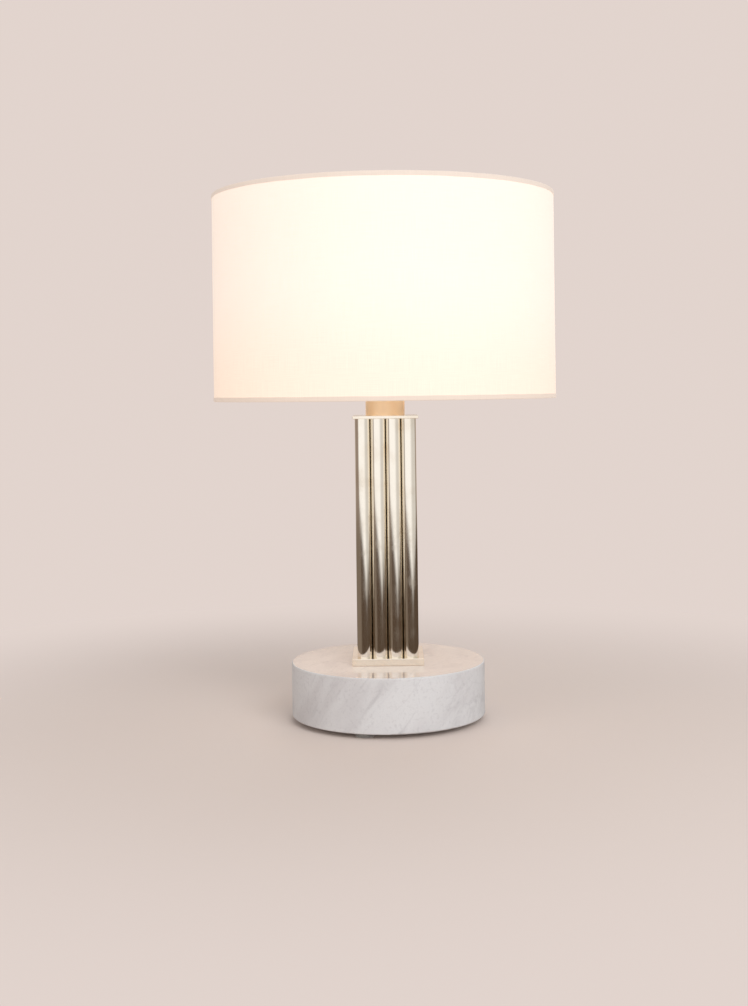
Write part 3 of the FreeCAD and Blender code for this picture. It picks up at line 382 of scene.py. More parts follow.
@dataclass(frozen=True)
class Metal(Finish):
    """Bare, plated or lacquered metal with fine lines, smudges and a little tarnish."""

    colour: Colour
    tarnish: Colour
    roughness: float
    grain: Grain
    smudge: float = 0.08
    line_depth: float = 0.004 * MM
    line_gloss: float = 0.03
    metallic: float = 1.0
    drawn_stretch: Point = (1, 1, 0.012)
    buffed_stretch: Point = (0.15, 1, 1)
    smudge_range: Range = (0.44, 0.74)
    smudge_share: float = 0.45
    spot_range: Range = (0.64, 0.78)
    spot_share: float = 0.12

    def lines(self, nodes: Nodes, place: bpy.types.NodeSocket) -> Signal:
        """Make the fine lines.

        Args:
            nodes: the material's nodes.
            place: the point's place on its piece.

        Returns:
            The lines, as noise from 0 to 1.
        """
        if self.grain is Grain.DRAWN:
            return nodes.noise(nodes.stretched(place, self.drawn_stretch), scale=3200)
        if self.grain is Grain.TURNED:
            return nodes.noise(nodes.joined(nodes.radius(place), nodes.part(place, "Z"), 0.0), scale=4200)
        return nodes.noise(nodes.stretched(place, self.buffed_stretch), scale=2600, detail=3)

    def paint(self, nodes: Nodes, shader: bpy.types.Node) -> None:
        """Paint the metal with its lines, smudges and tarnish.

        Args:
            nodes: the material's nodes.
            shader: its shader.
        """
        place = nodes.place()
        lines = self.lines(nodes, place)
        smudges = nodes.noise(place, scale=38, detail=5, distortion=0.4).rise(*self.smudge_range)
        spots = nodes.noise(place, scale=420, detail=3).rise(*self.spot_range)
        dull = smudges * self.smudge_share + spots * self.spot_share
        nodes.feed(shader, {
            "Base Color": nodes.blend(dull, self.colour, self.tarnish),
            "Metallic": self.metallic,
            "Roughness": self.roughness + smudges * self.smudge + lines * self.line_gloss,
            "Normal": nodes.bump(lines, self.line_depth),
        })


@dataclass(frozen=True)
class Moulded(Finish):
    """Plastic, board, paint or glaze: one colour with mottling, fine grain and changing gloss."""

    colour: Colour
    roughness: float
    mottle: Colour
    grain_scale: float = 900
    grain_depth: float = 0.02 * MM
    gloss_change: float = 0.08
    coat: float = 0.0
    mottle_range: Range = (0.42, 0.72)
    mottle_share: float = 0.6

    def paint(self, nodes: Nodes, shader: bpy.types.Node) -> None:
        """Paint the colour, its mottling and its grain.

        Args:
            nodes: the material's nodes.
            shader: its shader.
        """
        place = nodes.place()
        mottle = nodes.noise(place, scale=60, detail=4).rise(*self.mottle_range)
        grain = nodes.noise(place, scale=self.grain_scale)
        nodes.feed(shader, {
            "Base Color": nodes.blend(mottle * self.mottle_share, self.colour, self.mottle),
            "Roughness": self.roughness + mottle * self.gloss_change,
            "Coat Weight": self.coat,
            "Coat Roughness": 0.05,
            "Normal": nodes.bump(grain, self.grain_depth),
        })


@dataclass(frozen=True)
class StripedSleeve(Finish):
    """The green sleeve of an earth lead, with its yellow stripe."""

    colour: Colour = (0.06, 0.30, 0.05)
    stripe: Colour = (0.85, 0.66, 0.04)
    stripes_per_metre: float = 90.0
    stripe_edge: float = 0.15
    roughness: float = 0.42
    gloss_change: float = 0.08
    grain_depth: float = 0.01 * MM

    def paint(self, nodes: Nodes, shader: bpy.types.Node) -> None:
        """Paint the stripe across the lead, wherever the lead runs.

        Args:
            nodes: the material's nodes.
            shader: its shader.
        """
        place = nodes.place()
        run = nodes.part(place, "X") + nodes.part(place, "Y") + nodes.part(place, "Z")
        bands = (run * (self.stripes_per_metre * math.tau)).sine()
        grain = nodes.noise(place, scale=1500)
        nodes.feed(shader, {
            "Base Color": nodes.blend(bands.rise(-self.stripe_edge, self.stripe_edge), self.colour,
                                      self.stripe),
            "Roughness": self.roughness + grain * self.gloss_change,
            "Normal": nodes.bump(grain, self.grain_depth),
        })


@dataclass(frozen=True)
class Clear(Finish):
    """Glass or clear rubber."""

    colour: Colour
    roughness: float
    through: float
    ior: float
    glow: Colour = (0.0, 0.0, 0.0)
    glow_strength: float = 0.0
    haze: Colour = (0.9, 0.9, 0.88)
    haze_share: float = 0.2
    haze_gloss: float = 0.06

    def paint(self, nodes: Nodes, shader: bpy.types.Node) -> None:
        """Paint the body with a haze that changes its gloss.

        Args:
            nodes: the material's nodes.
            shader: its shader.
        """
        haze = nodes.noise(nodes.place(), scale=120, detail=3)
        nodes.feed(shader, {
            "Base Color": nodes.blend(haze * self.haze_share, self.colour, self.haze),
            "Roughness": self.roughness + haze * self.haze_gloss,
            "IOR": self.ior,
            "Transmission Weight": self.through,
            "Emission Color": self.glow,
            "Emission Strength": self.glow_strength,
        })


@dataclass(frozen=True)
class Cloth(Finish):
    """Plain-woven cloth with slubs, lit from behind. Slub waves are counted per metre."""

    colour: Colour
    shade: Colour
    glow_high: Colour
    glow_low: Colour
    pitch: float = 0.42 * MM
    depth: float = 0.06 * MM
    low_level: float = 0.33
    high_level: float = 0.45
    drum_radius: float = 175 * MM
    slub_waves_along: float = 40
    slub_waves_across: float = 2600
    slub_contrast: float = 1.6
    weave_share: float = 0.25
    thread_share: float = 0.7
    roughness: float = 0.86
    gloss_change: float = 0.1
    veil: float = 0.88
    veil_slubs: float = 0.10
    veil_clouds: float = 0.05

    def paint(self, nodes: Nodes, shader: bpy.types.Node) -> None:
        """Paint warp and weft round the drum, slubs in both, and the light that comes through.

        Args:
            nodes: the material's nodes.
            shader: its shader.
        """
        place = nodes.place()
        level = nodes.part(place, "Z")
        along = nodes.part(place, "Y").angle_from(nodes.part(place, "X")) * self.drum_radius
        across = level + nodes.radius(place)
        turn = math.tau / self.pitch
        weft = nodes.joined(along * self.slub_waves_along, across * self.slub_waves_across, 0.0)
        warp = nodes.joined(along * self.slub_waves_across, across * self.slub_waves_along, 5.0)
        weave = ((along * turn).sine() * (across * turn).sine() + 1.0) / 2.0
        knots = nodes.noise(weft, scale=1.0, detail=3) + nodes.noise(warp, scale=1.0, detail=3) - 1.0
        slubs = knots * self.slub_contrast + 0.5
        thread = weave * self.weave_share + slubs * (1.0 - self.weave_share)
        clouds = nodes.noise(place, scale=16, detail=3)
        veil = slubs * self.veil_slubs + clouds * self.veil_clouds + self.veil
        glow = nodes.blend(level.rise(self.low_level, self.high_level), self.glow_low, self.glow_high)
        nodes.feed(shader, {
            "Base Color": nodes.blend(thread * self.thread_share, self.shade, self.colour),
            "Roughness": self.roughness + weave * self.gloss_change,
            "Sheen Weight": 0.25,
            "Sheen Roughness": 0.5,
            "Specular IOR Level": 0.2,
            "Emission Color": nodes.blend(1.0, glow, nodes.joined(veil, veil, veil), "MULTIPLY"),
            "Emission Strength": 1.0,
            "Normal": nodes.bump(weave * 0.5 + slubs * 0.5, self.depth),
        })


@dataclass(frozen=True)
class LitLiner(Finish):
    """The stiff white sheet inside the drum, brightest beside the bulb."""

    colour: Colour = (0.92, 0.90, 0.86)
    ripple_colour: Colour = (0.88, 0.86, 0.81)
    ripple_waves: Point = (30, 30, 8)
    ripple_share: float = 0.3
    ripple_depth: float = 0.1 * MM
    roughness: float = 0.30
    gloss_change: float = 0.1
    dark: Colour = (0.0, 0.0, 0.0)
    glow: Colour = (1.0, 0.76, 0.48)
    glow_strength: float = 0.5
    fall: float = 0.6
    bulb_level: float = 0.43
    reach: float = 0.13

    def paint(self, nodes: Nodes, shader: bpy.types.Node) -> None:
        """Paint a faint ripple and the light of the bulb.

        Args:
            nodes: the material's nodes.
            shader: its shader.
        """
        place = nodes.place()
        away = ((nodes.part(place, "Z") - self.bulb_level) / self.reach).size().rise(0.0, 1.0)
        ripple = nodes.noise(nodes.stretched(place, self.ripple_waves), scale=1.0, detail=3)
        nodes.feed(shader, {
            "Base Color": nodes.blend(ripple * self.ripple_share, self.colour, self.ripple_colour),
            "Roughness": self.roughness + ripple * self.gloss_change,
            "Emission Color": nodes.blend(1.0 - away * self.fall, self.dark, self.glow),
            "Emission Strength": self.glow_strength,
            "Normal": nodes.bump(ripple, self.ripple_depth),
        })


@dataclass(frozen=True)
class Phosphor(Finish):
    """The coated light strips in the bulb."""

    colour: Colour = (1.0, 0.62, 0.20)
    between: Colour = (0.75, 0.45, 0.12)
    dim_glow: Colour = (0.5, 0.3, 0.1)
    bead_pitch: float = 1.2 * MM
    bead_share: float = 0.4
    strength: float = 6.0

    def paint(self, nodes: Nodes, shader: bpy.types.Node) -> None:
        """Paint the beads that glow along a strip.

        Args:
            nodes: the material's nodes.
            shader: its shader.
        """
        beads = (nodes.part(nodes.place(), "Z") * (math.tau / self.bead_pitch)).sine() * 0.5 + 0.5
        glow = beads * self.bead_share + (1.0 - self.bead_share)
        nodes.feed(shader, {
            "Base Color": nodes.blend(beads, self.between, self.colour),
            "Roughness": 0.5,
            "Emission Color": nodes.blend(glow, self.dim_glow, self.colour),
            "Emission Strength": self.strength,
        })


class Finishes:
    """Every finish on the lamp."""

    marble = Marble("honed_marble")
    tube_brass = Metal("drawn_tube_brass", (0.88, 0.82, 0.72), (0.78, 0.68, 0.55), 0.05, Grain.DRAWN,
                       smudge=0.05, line_depth=0.002 * MM)
    plate_brass = Metal("polished_plate_brass", (0.88, 0.80, 0.68), (0.78, 0.66, 0.52), 0.07,
                        Grain.BUFFED, smudge=0.05, line_depth=0.002 * MM)
    # Painted light: the neck's pale orange colour and part-diffuse metal show partly the brass itself and
    # partly the bulb's warm light falling on it.
    neck_brass = Metal("satin_brass_with_painted_bulb_glow", (0.96, 0.75, 0.53), (0.90, 0.64, 0.42), 0.34, Grain.TURNED,
                       smudge=0.06, line_gloss=0.06, metallic=0.6)
    turned_brass = Metal("turned_brass", (0.80, 0.60, 0.30), (0.55, 0.38, 0.17), 0.24, Grain.TURNED,
                         smudge=0.12, line_gloss=0.08, line_depth=0.01 * MM)
    contact_brass = Metal("contact_brass", (0.80, 0.60, 0.30), (0.50, 0.33, 0.15), 0.30, Grain.BUFFED,
                          smudge=0.12, line_gloss=0.06)
    zinc = Metal("zinc_plate", (0.62, 0.63, 0.62), (0.42, 0.42, 0.44), 0.34, Grain.BUFFED,
                 smudge=0.14, line_gloss=0.08, line_depth=0.01 * MM)
    nickel = Metal("nickel_plate", (0.72, 0.69, 0.63), (0.55, 0.50, 0.42), 0.20, Grain.TURNED,
                   smudge=0.10)
    solder = Metal("tinned_solder", (0.66, 0.66, 0.66), (0.40, 0.40, 0.42), 0.38, Grain.BUFFED)
    black = Moulded("black_moulding", (0.020, 0.020, 0.021), 0.34, (0.035, 0.034, 0.034))
    board = Moulded("black_board", (0.030, 0.029, 0.028), 0.86, (0.055, 0.052, 0.048),
                    grain_scale=260, grain_depth=0.12 * MM)
    white = Moulded("white_moulding", (0.80, 0.79, 0.75), 0.40, (0.74, 0.72, 0.66))
    glaze = Moulded("glazed_porcelain", (0.86, 0.84, 0.79), 0.16, (0.80, 0.78, 0.72), grain_scale=140,
                    grain_depth=0.03 * MM, coat=0.6)
    black_glass = Moulded("black_glass", (0.012, 0.012, 0.014), 0.10, (0.03, 0.03, 0.035),
                          grain_scale=200, coat=0.5)
    wire_paint = Moulded("white_powder_coat", (0.84, 0.82, 0.78), 0.42, (0.78, 0.76, 0.71),
                         grain_scale=1600, grain_depth=0.05 * MM)
    live = Moulded("brown_sleeve", (0.13, 0.05, 0.02), 0.42, (0.17, 0.07, 0.03))
    neutral = Moulded("blue_sleeve", (0.02, 0.09, 0.42), 0.42, (0.03, 0.12, 0.48))
    earth = StripedSleeve("earth_sleeve_stripes")
    pads = Clear("clear_pad_rubber", (0.93, 0.93, 0.90), roughness=0.22, through=0.75, ior=1.48)
    frosted = Clear("frosted_bulb_glass", (0.50, 0.47, 0.42), roughness=0.40, through=0.20, ior=1.45,
                    glow=(1.0, 0.76, 0.46), glow_strength=0.5)
    stem = Clear("clear_stem_glass", (0.98, 0.98, 0.98), roughness=0.03, through=0.95, ior=1.50)
    phosphor = Phosphor("phosphor_strip")
    cloth = Cloth("lit_drum_cloth", (0.48, 0.48, 0.47), (0.43, 0.43, 0.42),
                  glow_high=(0.76, 0.605, 0.49), glow_low=(0.76, 0.55, 0.40))
    hem = Cloth("hem_cloth", (0.56, 0.52, 0.48), (0.50, 0.46, 0.42),
                glow_high=(0.40, 0.31, 0.25), glow_low=(0.40, 0.30, 0.23), pitch=0.5 * MM)
    liner = LitLiner("lit_liner")


# ---------------------------------------------------------------------------------------------------------
# Meshes
# ---------------------------------------------------------------------------------------------------------

def lofted(rings: Sequence[Sequence[Point]], looped: bool) -> Shape:
    """Join closed rings of points, one after the other.

    Args:
        rings: rings with the same number of points.
        looped: True joins the last ring to the first, and False closes both ends.

    Returns:
        The vertices and faces.
    """
    count = len(rings[0])
    points = [point for ring in rings for point in ring]
    faces = []
    for index in range(len(rings) if looped else len(rings) - 1):
        here = index * count
        there = (index + 1) % len(rings) * count
        for corner in range(count):
            after = (corner + 1) % count
            faces.append([here + corner, there + corner, there + after, here + after])
    if not looped:
        last = len(points) - count
        faces.append(list(range(count)))
        faces.append([last + corner for corner in reversed(range(count))])
    return points, faces


def turned(profile: Callable[[float], Outline], segments: int) -> Shape:
    """Turn an outline about the lamp's axis.

    Args:
        profile: gives the closed outline of (radius, height) corners at an angle.
        segments: steps round the axis.

    Returns:
        The vertices and faces.
    """
    rings = []
    for step in range(segments):
        angle = math.tau * step / segments
        rings.append([(radius * math.cos(angle), radius * math.sin(angle), height)
                      for radius, height in profile(angle)])
    return lofted(rings, looped=True)


def arc(centre: tuple[float, float], radius: float, start: float, end: float, steps: int = 8) -> Outline:
    """Return points on an arc.

    Args:
        centre: its centre, as (radius from the lamp's axis, height).
        radius: its own radius.
        start: first angle in degrees, counted from outwards towards up.
        end: last angle in degrees.
        steps: how many chords it has.

    Returns:
        The points, with both ends.
    """
    angles = [math.radians(start + (end - start) * step / steps) for step in range(steps + 1)]
    return [(centre[0] + radius * math.cos(a), centre[1] + radius * math.sin(a)) for a in angles]


def spread(first: float, last: float, count: int) -> list[float]:
    """Return evenly spaced numbers, with both ends."""
    return [first + (last - first) * index / (count - 1) for index in range(count)]


def new_piece(name: str, shape: Shape, finish: Finish, body: str,
              replaced: Sequence[str]) -> bpy.types.Object:
    """Make a smooth mesh that stands for CAD nodes and moves with a body.

    Args:
        name: the piece's name.
        shape: its vertices and faces.
        finish: its finish.
        body: the CAD body that it moves with.
        replaced: the CAD nodes that it stands for.

    Returns:
        The new object.
    """
    points, faces = shape
    mesh = bpy.data.meshes.new(name)
    mesh.from_pydata(points, [], faces)
    build = bmesh.new()
    build.from_mesh(mesh)
    bmesh.ops.recalc_face_normals(build, faces=build.faces)
    build.to_mesh(mesh)
    build.free()
    mesh.shade_smooth()
    mesh.set_sharp_from_angle(angle=SHARP)
    mesh.materials.append(finish.material())
    piece = bpy.data.objects.new(name, mesh)
    bpy.context.scene.collection.objects.link(piece)
    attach(piece, body)
    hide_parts(*replaced)
    log.info("%s: %d faces, rides on %s, stands for %s", name, len(faces), body, ", ".join(replaced))
    return piece


def node_radii(node: str) -> list[float]:
    """Return the distances from the axis at which a CAD node has corners, smallest first."""
    corners = frame["nodes"][node].data.vertices
    return sorted({round(math.hypot(corner.co.x, corner.co.y), RADIUS_DIGITS) for corner in corners})


def dress(nodes: Iterable[str], finish: Finish) -> None:
    """Give CAD nodes a finish in place of the plain one that they came with.

    Args:
        nodes: the CAD nodes' names.
        finish: their finish.
    """
    for name in nodes:
        for slot in frame["nodes"][name].material_slots:
            slot.material = finish.material()
        log.info("%s: %s", name, finish.name)


# ---------------------------------------------------------------------------------------------------------
# The lamp's sub-assemblies
# ---------------------------------------------------------------------------------------------------------

@dataclass
class Foot:
    """The marble disc and what is fixed under it."""

    def build(self) -> None:
        """Dress the disc, its pads, the cover and the gland."""
        dress(["marble_base"], Finishes.marble)
        dress(["foot_pads"], Finishes.pads)
        dress(["base_cover"], Finishes.board)
        dress(["cable_gland"], Finishes.black)


@dataclass
class Wiring:
    """The strip, terminals and leads in the recess, and the rod with its nuts."""

    def build(self) -> None:
        """Dress the electrical pieces and the fasteners."""
        dress(["wiring_strip", "foot_washer", "foot_nut", "threaded_rod", "cap_washer", "cap_nut",
               "block_clamp_screws", "block_screw", "earth_ring", "post_screws"], Finishes.zinc)
        dress(["rod_bushes", "terminal_block"], Finishes.white)
        dress(["block_sleeves", "earth_screw", "terminal_posts"], Finishes.contact_brass)
        dress(["earth_lead"], Finishes.earth)
        dress(["live_lead"], Finishes.live)
        dress(["neutral_lead"], Finishes.neutral)


@dataclass
class Column:
    """The brass plates and the tubes between them."""

    def build(self) -> None:
        """Dress the plates and every tube."""
        dress(["base_plate", "top_plate"], Finishes.plate_brass)
        dress(sorted(name for name in frame["nodes"] if name.startswith("tube_")), Finishes.tube_brass)


@dataclass(frozen=True)
class Thread:
    """A round thread on a turned piece. It fades out at both ends."""

    low: float
    high: float
    crest: float
    depth: float
    pitch: float
    fade: float
    rows_per_turn: int = 8

    def rows(self) -> list[float]:
        """Return the heights at which the thread has points."""
        count = round((self.high - self.low) / self.pitch * self.rows_per_turn)
        return spread(self.low, self.high, count + 1)

    def surface(self, angle: float) -> Outline:
        """Trace the thread at an angle round the axis.

        Args:
            angle: the angle in radians.

        Returns:
            The thread's outline, from its foot to its top.
        """
        outline = []
        for height in self.rows():
            wave = 0.5 - 0.5 * math.cos(math.tau * height / self.pitch - angle)
            ends = min(1.0, (height - self.low) / self.fade, (self.high - height) / self.fade)
            outline.append((self.crest - self.depth * wave * ends, height))
        return outline


@dataclass
class Lampholder:
    """The brass cap that is the lamp's neck, with the threaded skirt, rings, contacts and switch."""

    pitch: float = 3.0 * MM
    thread_depth: float = 0.7 * MM
    thread_fade: float = 1.5 * MM
    segments: int = 96

    def build(self) -> None:
        """Dress the lampholder and make the skirt with its thread."""
        dress(["lampholder_cap"], Finishes.neck_brass)
        dress(["lampholder_insert"], Finishes.glaze)
        dress(["screw_shell", "centre_contact"], Finishes.contact_brass)
        dress(["lower_shade_ring", "upper_shade_ring"], Finishes.turned_brass)
        dress(["switch_bar", "switch_slider"], Finishes.black)
        low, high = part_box("lampholder_skirt")
        cap_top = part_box("lampholder_cap")[1].z
        bore, plug, crest = (node_radii("lampholder_skirt")[index] for index in (0, 1, -1))
        thread = Thread(cap_top, high.z, crest, self.thread_depth, self.pitch, self.thread_fade)
        inside = [(bore, high.z), (bore, low.z), (plug, low.z), (plug, cap_top)]
        shape = turned(lambda angle: thread.surface(angle) + inside, self.segments)
        new_piece("threaded_skirt", shape, Finishes.turned_brass, "stand",
                  ["lampholder_skirt"])


@dataclass
class DrumShade:
    """The cloth drum: frame, liner, stretched cloth, the lap at the back and two rolled hems."""

    segments: int = 288
    rows: int = 36
    ripple: float = 0.05 * MM
    ripples_round: tuple[int, int] = (5, 11)
    ripples_up: tuple[float, float] = (30, 55)
    hem_waver: float = 0.12 * MM
    hem_wavers_round: tuple[int, int] = (13, 29)
    hem_phase: float = 1.0
    hem_corner: float = 0.9 * MM
    tuck: float = 70.0
    lap_columns: int = 15
    lap_waver: float = 0.25 * MM
    lap_wavers_up: tuple[float, float] = (90, 37)
    lap_width_share: float = 0.97
    lap_thinning: float = 0.8
    lap_flatness: int = 8
    cut_width: float = 1.114
    cut_height: float = 0.210

    def build(self) -> None:
        """Dress the frame and liner, and make the cloth pieces."""
        dress(["shade_fitter", "spider_arms", "bottom_wire_ring", "top_wire_ring"], Finishes.wire_paint)
        dress(["shade_liner"], Finishes.liner)
        cloth = self.cloth()
        hems = [self.hem("rolled_top_hem", "top_hem", "top_wire_ring", up=True),
                self.hem("rolled_bottom_hem", "bottom_hem", "bottom_wire_ring", up=False)]
        lap = self.lap()
        hems + [lap]

    def cloth(self) -> bpy.types.Object:
        """Make the stretched cloth, which lies in faint waves on the liner.

        Returns:
            The cloth.
        """
        low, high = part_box("shade_fabric")
        inner, outer = node_radii("shade_fabric")[0], node_radii("shade_fabric")[-1]
        levels = spread(low.z, high.z, self.rows)
        few, many = self.ripples_round
        slow, fast = self.ripples_up

        def profile(angle: float) -> Outline:
            """Trace the cloth.

            Args:
                angle: the angle round the axis, in radians.

            Returns:
                The outline of its cut.
            """
            waves = [self.ripple * math.sin(few * angle + slow * level)
                     * math.sin(many * angle - fast * level) for level in levels]
            outside = [(outer + wave, level) for wave, level in zip(waves, levels)]
            return outside + [(inner, level) for level in reversed(levels)]

        return new_piece("drum_cloth", turned(profile, self.segments), Finishes.cloth, "shade",
                         ["shade_fabric"])

    def hem(self, name: str, node: str, wire: str, up: bool) -> bpy.types.Object:
        """Make a hem that is rolled over its wire ring and tucked in under it.

        Args:
            name: the piece's name.
            node: the CAD hem that it stands for.
            wire: the wire ring that it goes round.
            up: True for the hem at the top.

        Returns:
            The hem.
        """
        low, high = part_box(node)
        wire_low, wire_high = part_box(wire)
        side = 1.0 if up else -1.0
        edge, rim = (low.z, high.z) if up else (high.z, low.z)
        outside = node_radii(node)[-1]
        thickness = outside - node_radii("shade_fabric")[-1]
        wire_radius = (wire_high.z - wire_low.z) / 2
        centre = (node_radii(wire)[-1] - wire_radius, (wire_low.z + wire_high.z) / 2)
        roll = (rim - centre[1]) * side
        corner = (outside - self.hem_corner, rim - side * self.hem_corner)
        few, many = self.hem_wavers_round

        def path(inset: float, edge_level: float) -> Outline:
            """Trace one face of the cloth from its edge, over the rim and round the wire.

            Args:
                inset: how far the face lies inside the hem's outer face.
                edge_level: the height of the hem's edge.

            Returns:
                The line.
            """
            bend = arc(corner, self.hem_corner - inset, 0, side * 90, steps=6)
            round_wire = arc(centre, roll - inset, side * 90, side * (180 + self.tuck), steps=12)
            return [(outside - inset, edge_level)] + bend + round_wire

        def profile(angle: float) -> Outline:
            """Return the hem's outline at an angle."""
            waver = self.hem_waver * (math.sin(few * angle) + math.sin(many * angle + self.hem_phase)) / 2
            return path(0.0, edge + waver) + path(thickness, edge + waver)[::-1]

        return new_piece(name, turned(profile, self.segments), Finishes.hem, "shade", [node])

    def lap(self) -> bpy.types.Object:
        """Make the lap of the cloth at the back, which is thick in its middle and thin at its edges.

        Returns:
            The lap.
        """
        low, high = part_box("shade_seam")
        radii = node_radii("shade_seam")
        inner, outer = radii[0], radii[-1]
        half = math.asin(high.x / outer)
        fast, slow = self.lap_wavers_up
        places = spread(-1.0, 1.0, self.lap_columns)
        outline = [(inner + (outer - inner) * (1.0 - self.lap_thinning * place ** self.lap_flatness), place)
                   for place in places]
        outline += [(inner, place) for place in reversed(places)]
        rings = []
        for level in spread(low.z, high.z, self.rows):
            waver = self.lap_waver / outer * math.sin(fast * level) * math.sin(slow * level)
            angles = [math.pi / 2 + place * half * self.lap_width_share + waver for _, place in outline]
            rings.append([(reach * math.cos(a), reach * math.sin(a), level)
                          for (reach, _), a in zip(outline, angles)])
        return new_piece("cloth_lap", lofted(rings, looped=False), Finishes.cloth, "shade",
                         ["shade_seam"])


@dataclass
class Bulb:
    """The screw bulb: frosted glass, glowing strips on a glass stem, and the threaded cap."""

    pitch: float = 3.6 * MM
    thread_depth: float = 0.5 * MM
    thread_fade: float = 2.4 * MM
    cap_wall: float = 0.3 * MM
    cap_bevel: float = 1.5 * MM
    segments: int = 96
    light_radius: float = 0.032
    light_watts: float = 0.9
    light_colour: Colour = (1.0, 0.62, 0.34)

    def build(self) -> None:
        """Dress the bulb, make its threaded cap and put its light in."""
        dress(["bulb_glass"], Finishes.frosted)
        dress(["bulb_insulator"], Finishes.black_glass)
        dress(["bulb_tip_contact"], Finishes.solder)
        dress(["bulb_stem"], Finishes.stem)
        dress(["light_strips"], Finishes.phosphor)
        self.cap()
        self.light()

    def cap(self) -> None:
        """Make the cap of thin sheet, whose thread shows inside and outside."""
        low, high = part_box("bulb_cap")
        thread = Thread(low.z + self.cap_bevel, high.z, high.x, self.thread_depth, self.pitch,
                        self.thread_fade)
        foot = high.x - self.cap_bevel

        def profile(angle: float) -> Outline:
            """Trace the cap.

            Args:
                angle: the angle round the axis, in radians.

            Returns:
                The outline of its wall.
            """
            outside = [(foot, low.z)] + thread.surface(angle)
            inside = [(radius - self.cap_wall, level) for radius, level in reversed(outside)]
            return outside + inside

        new_piece("rolled_bulb_cap", turned(profile, self.segments), Finishes.nickel, "bulb",
                  ["bulb_cap"])

    def light(self) -> None:
        """Put a warm lamp round the glass ball, to move with the bulb."""
        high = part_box("bulb_glass")[1]
        data = bpy.data.lights.new("bulb_light", "POINT")
        data.shadow_soft_size = self.light_radius
        data.energy = self.light_watts
        data.color = self.light_colour
        light = bpy.data.objects.new("bulb_light", data)
        bpy.context.scene.collection.objects.link(light)
        light.location = (0.0, 0.0, high.z - high.x)
        light.parent = frame["bodies"]["bulb"]
        light.visible_camera = False
        light.visible_glossy = False


# ---------------------------------------------------------------------------------------------------------
# Stage, lights and camera
# ---------------------------------------------------------------------------------------------------------

@dataclass
class PhotoCamera:
    """The camera at the photograph's place, level, with a small roll."""

    place: Point = (0.0, -1.473, 0.337)
    lens: float = 51.13
    sensor: float = 36.0
    shift_x: float = -0.0108
    shift_y: float = -0.1123
    roll: float = 0.0125

    def build(self) -> None:
        """Make the camera that the scene is seen through."""
        data = bpy.data.cameras.new("photo_camera")
        data.lens = self.lens
        data.sensor_width = self.sensor
        data.shift_x = self.shift_x
        data.shift_y = self.shift_y
        camera = bpy.data.objects.new("photo_camera", data)
        bpy.context.scene.collection.objects.link(camera)
        camera.location = self.place
        camera.rotation_euler = (math.pi / 2, self.roll, 0.0)
        bpy.context.scene.camera = camera
        log.info("camera at %s", self.place)


@dataclass(frozen=True)
class SoftBox:
    """A square lamp that is aimed at a point."""

    name: str
    place: Point
    aim: Point
    side: float
    watts: float
    colour: Colour = (1.0, 1.0, 1.0)

    def build(self) -> None:
        """Hang the lamp. Metal doesn't mirror it, because the room's own mirror image is painted."""
        data = bpy.data.lights.new(self.name, "AREA")
        data.shape = "SQUARE"
        data.size = self.side
        data.energy = self.watts
        data.color = self.colour
        lamp = bpy.data.objects.new(self.name, data)
        bpy.context.scene.collection.objects.link(lamp)
        lamp.location = self.place
        lamp.rotation_euler = (Vector(self.aim) - Vector(self.place)).to_track_quat("-Z", "Y").to_euler()
        lamp.visible_glossy = False
        log.info("%s: %.0f W", self.name, self.watts)


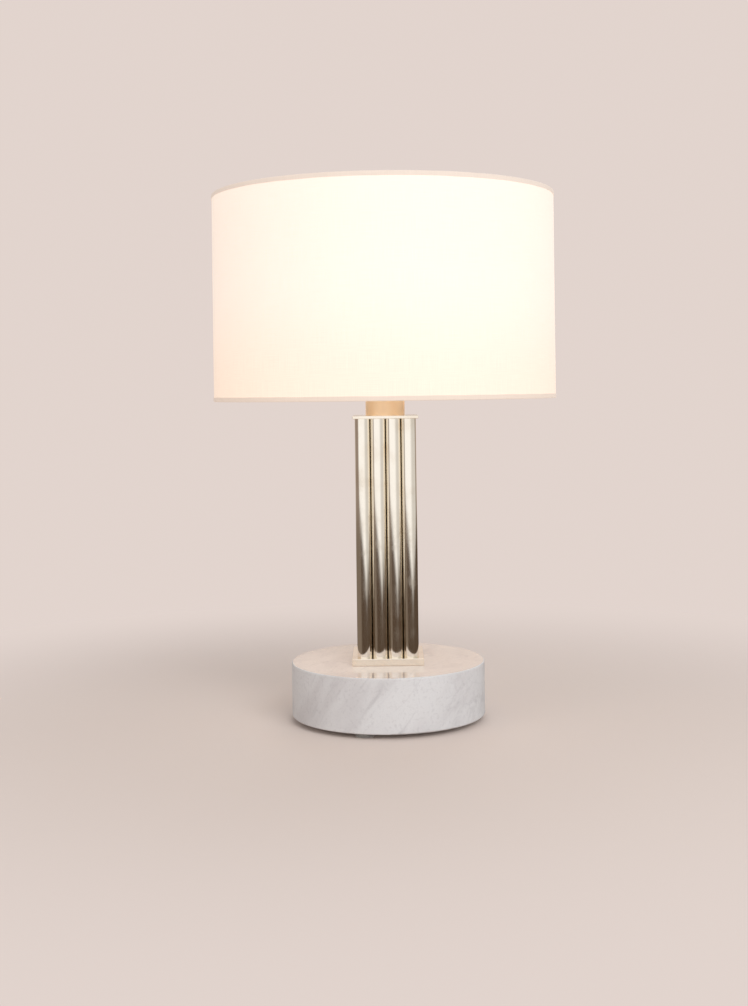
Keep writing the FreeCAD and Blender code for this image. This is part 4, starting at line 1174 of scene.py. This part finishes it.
@dataclass
class Studio:
    """A pale floor that runs into a pale backdrop, three soft boxes and the room that metal mirrors.

    Window and sill are placed by azimuth in radians from the front, to the right, and by the rise of a
    mirrored ray, from -1 straight down to 1 straight up.
    """

    backdrop: Colour = (0.76, 0.66, 0.615)
    floor: Colour = (0.76, 0.67, 0.62)
    ambient: Colour = (0.47, 0.465, 0.47)
    window: Colour = (1.12, 1.11, 1.12)
    window_side: Colour = (0.74, 0.72, 0.70)
    window_middle: float = 0.40
    window_reach: float = 1.75
    sill_middle: float = 0.70
    sill_height: float = -0.148
    sill_slope: float = 0.036
    sill_blur: Range = (-0.006, 0.020)
    window_blur: float = 0.45
    window_dims: Range = (0.25, 0.95)
    left_from: Range = (0.5, 1.1)
    behind_from: Range = (2.2, 2.7)
    behind_height: Range = (-0.12, -0.05)
    behind_share: float = 0.8
    floor_ends: Range = (-0.42, -0.22)
    level_starts: Range = (-0.11, -0.07)
    high_starts: Range = (0.0, 0.20)
    room_high: Colour = (0.80, 0.68, 0.60)
    room_level: Colour = (0.33, 0.265, 0.225)
    room_left: Colour = (0.21, 0.165, 0.13)
    room_low: Colour = (0.095, 0.064, 0.044)
    room_floor: Colour = (0.60, 0.52, 0.47)
    box_aim: Point = (0.0, 0.0, 0.2)
    box_side: float = 1.5
    floor_radius: float = 2.6
    fade_from: float = 0.22
    fade_to: float = 0.80
    segments: int = 96

    def build(self) -> None:
        """Make the floor, the lamps and the world."""
        self.make_floor()
        self.make_world()
        aim, side = self.box_aim, self.box_side
        SoftBox("key_box", (0.95, -1.95, 1.40), aim, side, watts=31.0).build()
        SoftBox("fill_box", (-1.9, -1.3, 1.0), aim, side, watts=7.0, colour=(1.0, 0.86, 0.76)).build()
        SoftBox("back_box", (0.2, 2.1, 1.5), aim, side, watts=10.0).build()

    def make_floor(self) -> None:
        """Make a round floor that takes shadows near the lamp and turns into backdrop further out."""
        mesh = bpy.data.meshes.new("floor")
        angles = [math.tau * step / self.segments for step in range(self.segments)]
        rim = [(self.floor_radius * math.cos(a), self.floor_radius * math.sin(a), 0.0) for a in angles]
        mesh.from_pydata(rim, [], [list(range(self.segments))])
        floor = bpy.data.objects.new("floor", mesh)
        bpy.context.scene.collection.objects.link(floor)
        material = bpy.data.materials.new("floor")
        material.use_nodes = True
        nodes = Nodes(material.node_tree)
        far = nodes.radius(nodes.place()).rise(self.fade_from, self.fade_to)
        near_floor = nodes.add("BsdfPrincipled", values={"Base Color": self.floor, "Roughness": 0.9,
                                                         "Specular IOR Level": 0.1})
        backdrop = nodes.add("Emission", values={"Color": self.backdrop})
        both = nodes.add("MixShader", values={0: far, 1: near_floor.outputs[0], 2: backdrop.outputs[0]})
        nodes.add("OutputMaterial", values={"Surface": both.outputs[0]})
        mesh.materials.append(material)
        floor.visible_glossy = False

    def make_world(self) -> None:
        """Paint the world: backdrop to the camera, the room to metal and glass, soft light to the rest."""
        world = bpy.data.worlds.new("studio")
        world.use_nodes = True
        bpy.context.scene.world = world
        nodes = Nodes(world.node_tree)
        direction = nodes.add("TexCoord").outputs["Generated"]
        height = nodes.part(direction, "Z")
        azimuth = nodes.part(direction, "X").angle_from(nodes.part(direction, "Y") * -1.0)
        sill = (azimuth - self.sill_middle).size() * self.sill_slope + self.sill_height
        inside = (self.window_reach - (azimuth - self.window_middle).size()).rise(0.0, self.window_blur)
        lit = (height - sill).rise(*self.sill_blur) * inside
        left = (azimuth * -1.0).rise(*self.left_from)
        behind = azimuth.size().rise(*self.behind_from) * height.rise(*self.behind_height)
        window = nodes.blend(azimuth.rise(*self.window_dims), self.window, self.window_side)
        room = nodes.blend(left, self.room_low, self.room_left)
        room = nodes.blend(height.rise(*self.floor_ends), self.room_floor, room)
        room = nodes.blend(height.rise(*self.level_starts), room, self.room_level)
        room = nodes.blend(height.rise(*self.high_starts), room, self.room_high)
        room = nodes.blend(behind * self.behind_share, room, self.room_high)
        room = nodes.blend(lit, room, window)
        path = nodes.add("LightPath")
        glossy = Signal(nodes, path.outputs["Is Glossy Ray"])
        mirrored = (glossy + path.outputs["Is Transmission Ray"]).rise(0.0, 1.0)
        seen = nodes.blend(mirrored, self.ambient, room)
        seen = nodes.blend(path.outputs["Is Camera Ray"], seen, self.backdrop)
        background = nodes.add("Background", values={"Color": seen, "Strength": 1.0})
        nodes.add("OutputWorld", values={"Surface": background.outputs[0]})


def main() -> None:
    """Build the scene, from the camera to the bulb."""
    logging.basicConfig(level=logging.INFO, format="%(message)s")
    bpy.context.scene.view_settings.view_transform = "Standard"
    for part in (PhotoCamera(), Studio(), Foot(), Wiring(), Column(), Lampholder(), DrumShade(), Bulb()):
        part.build()


if __name__ == "__main__":
    main()
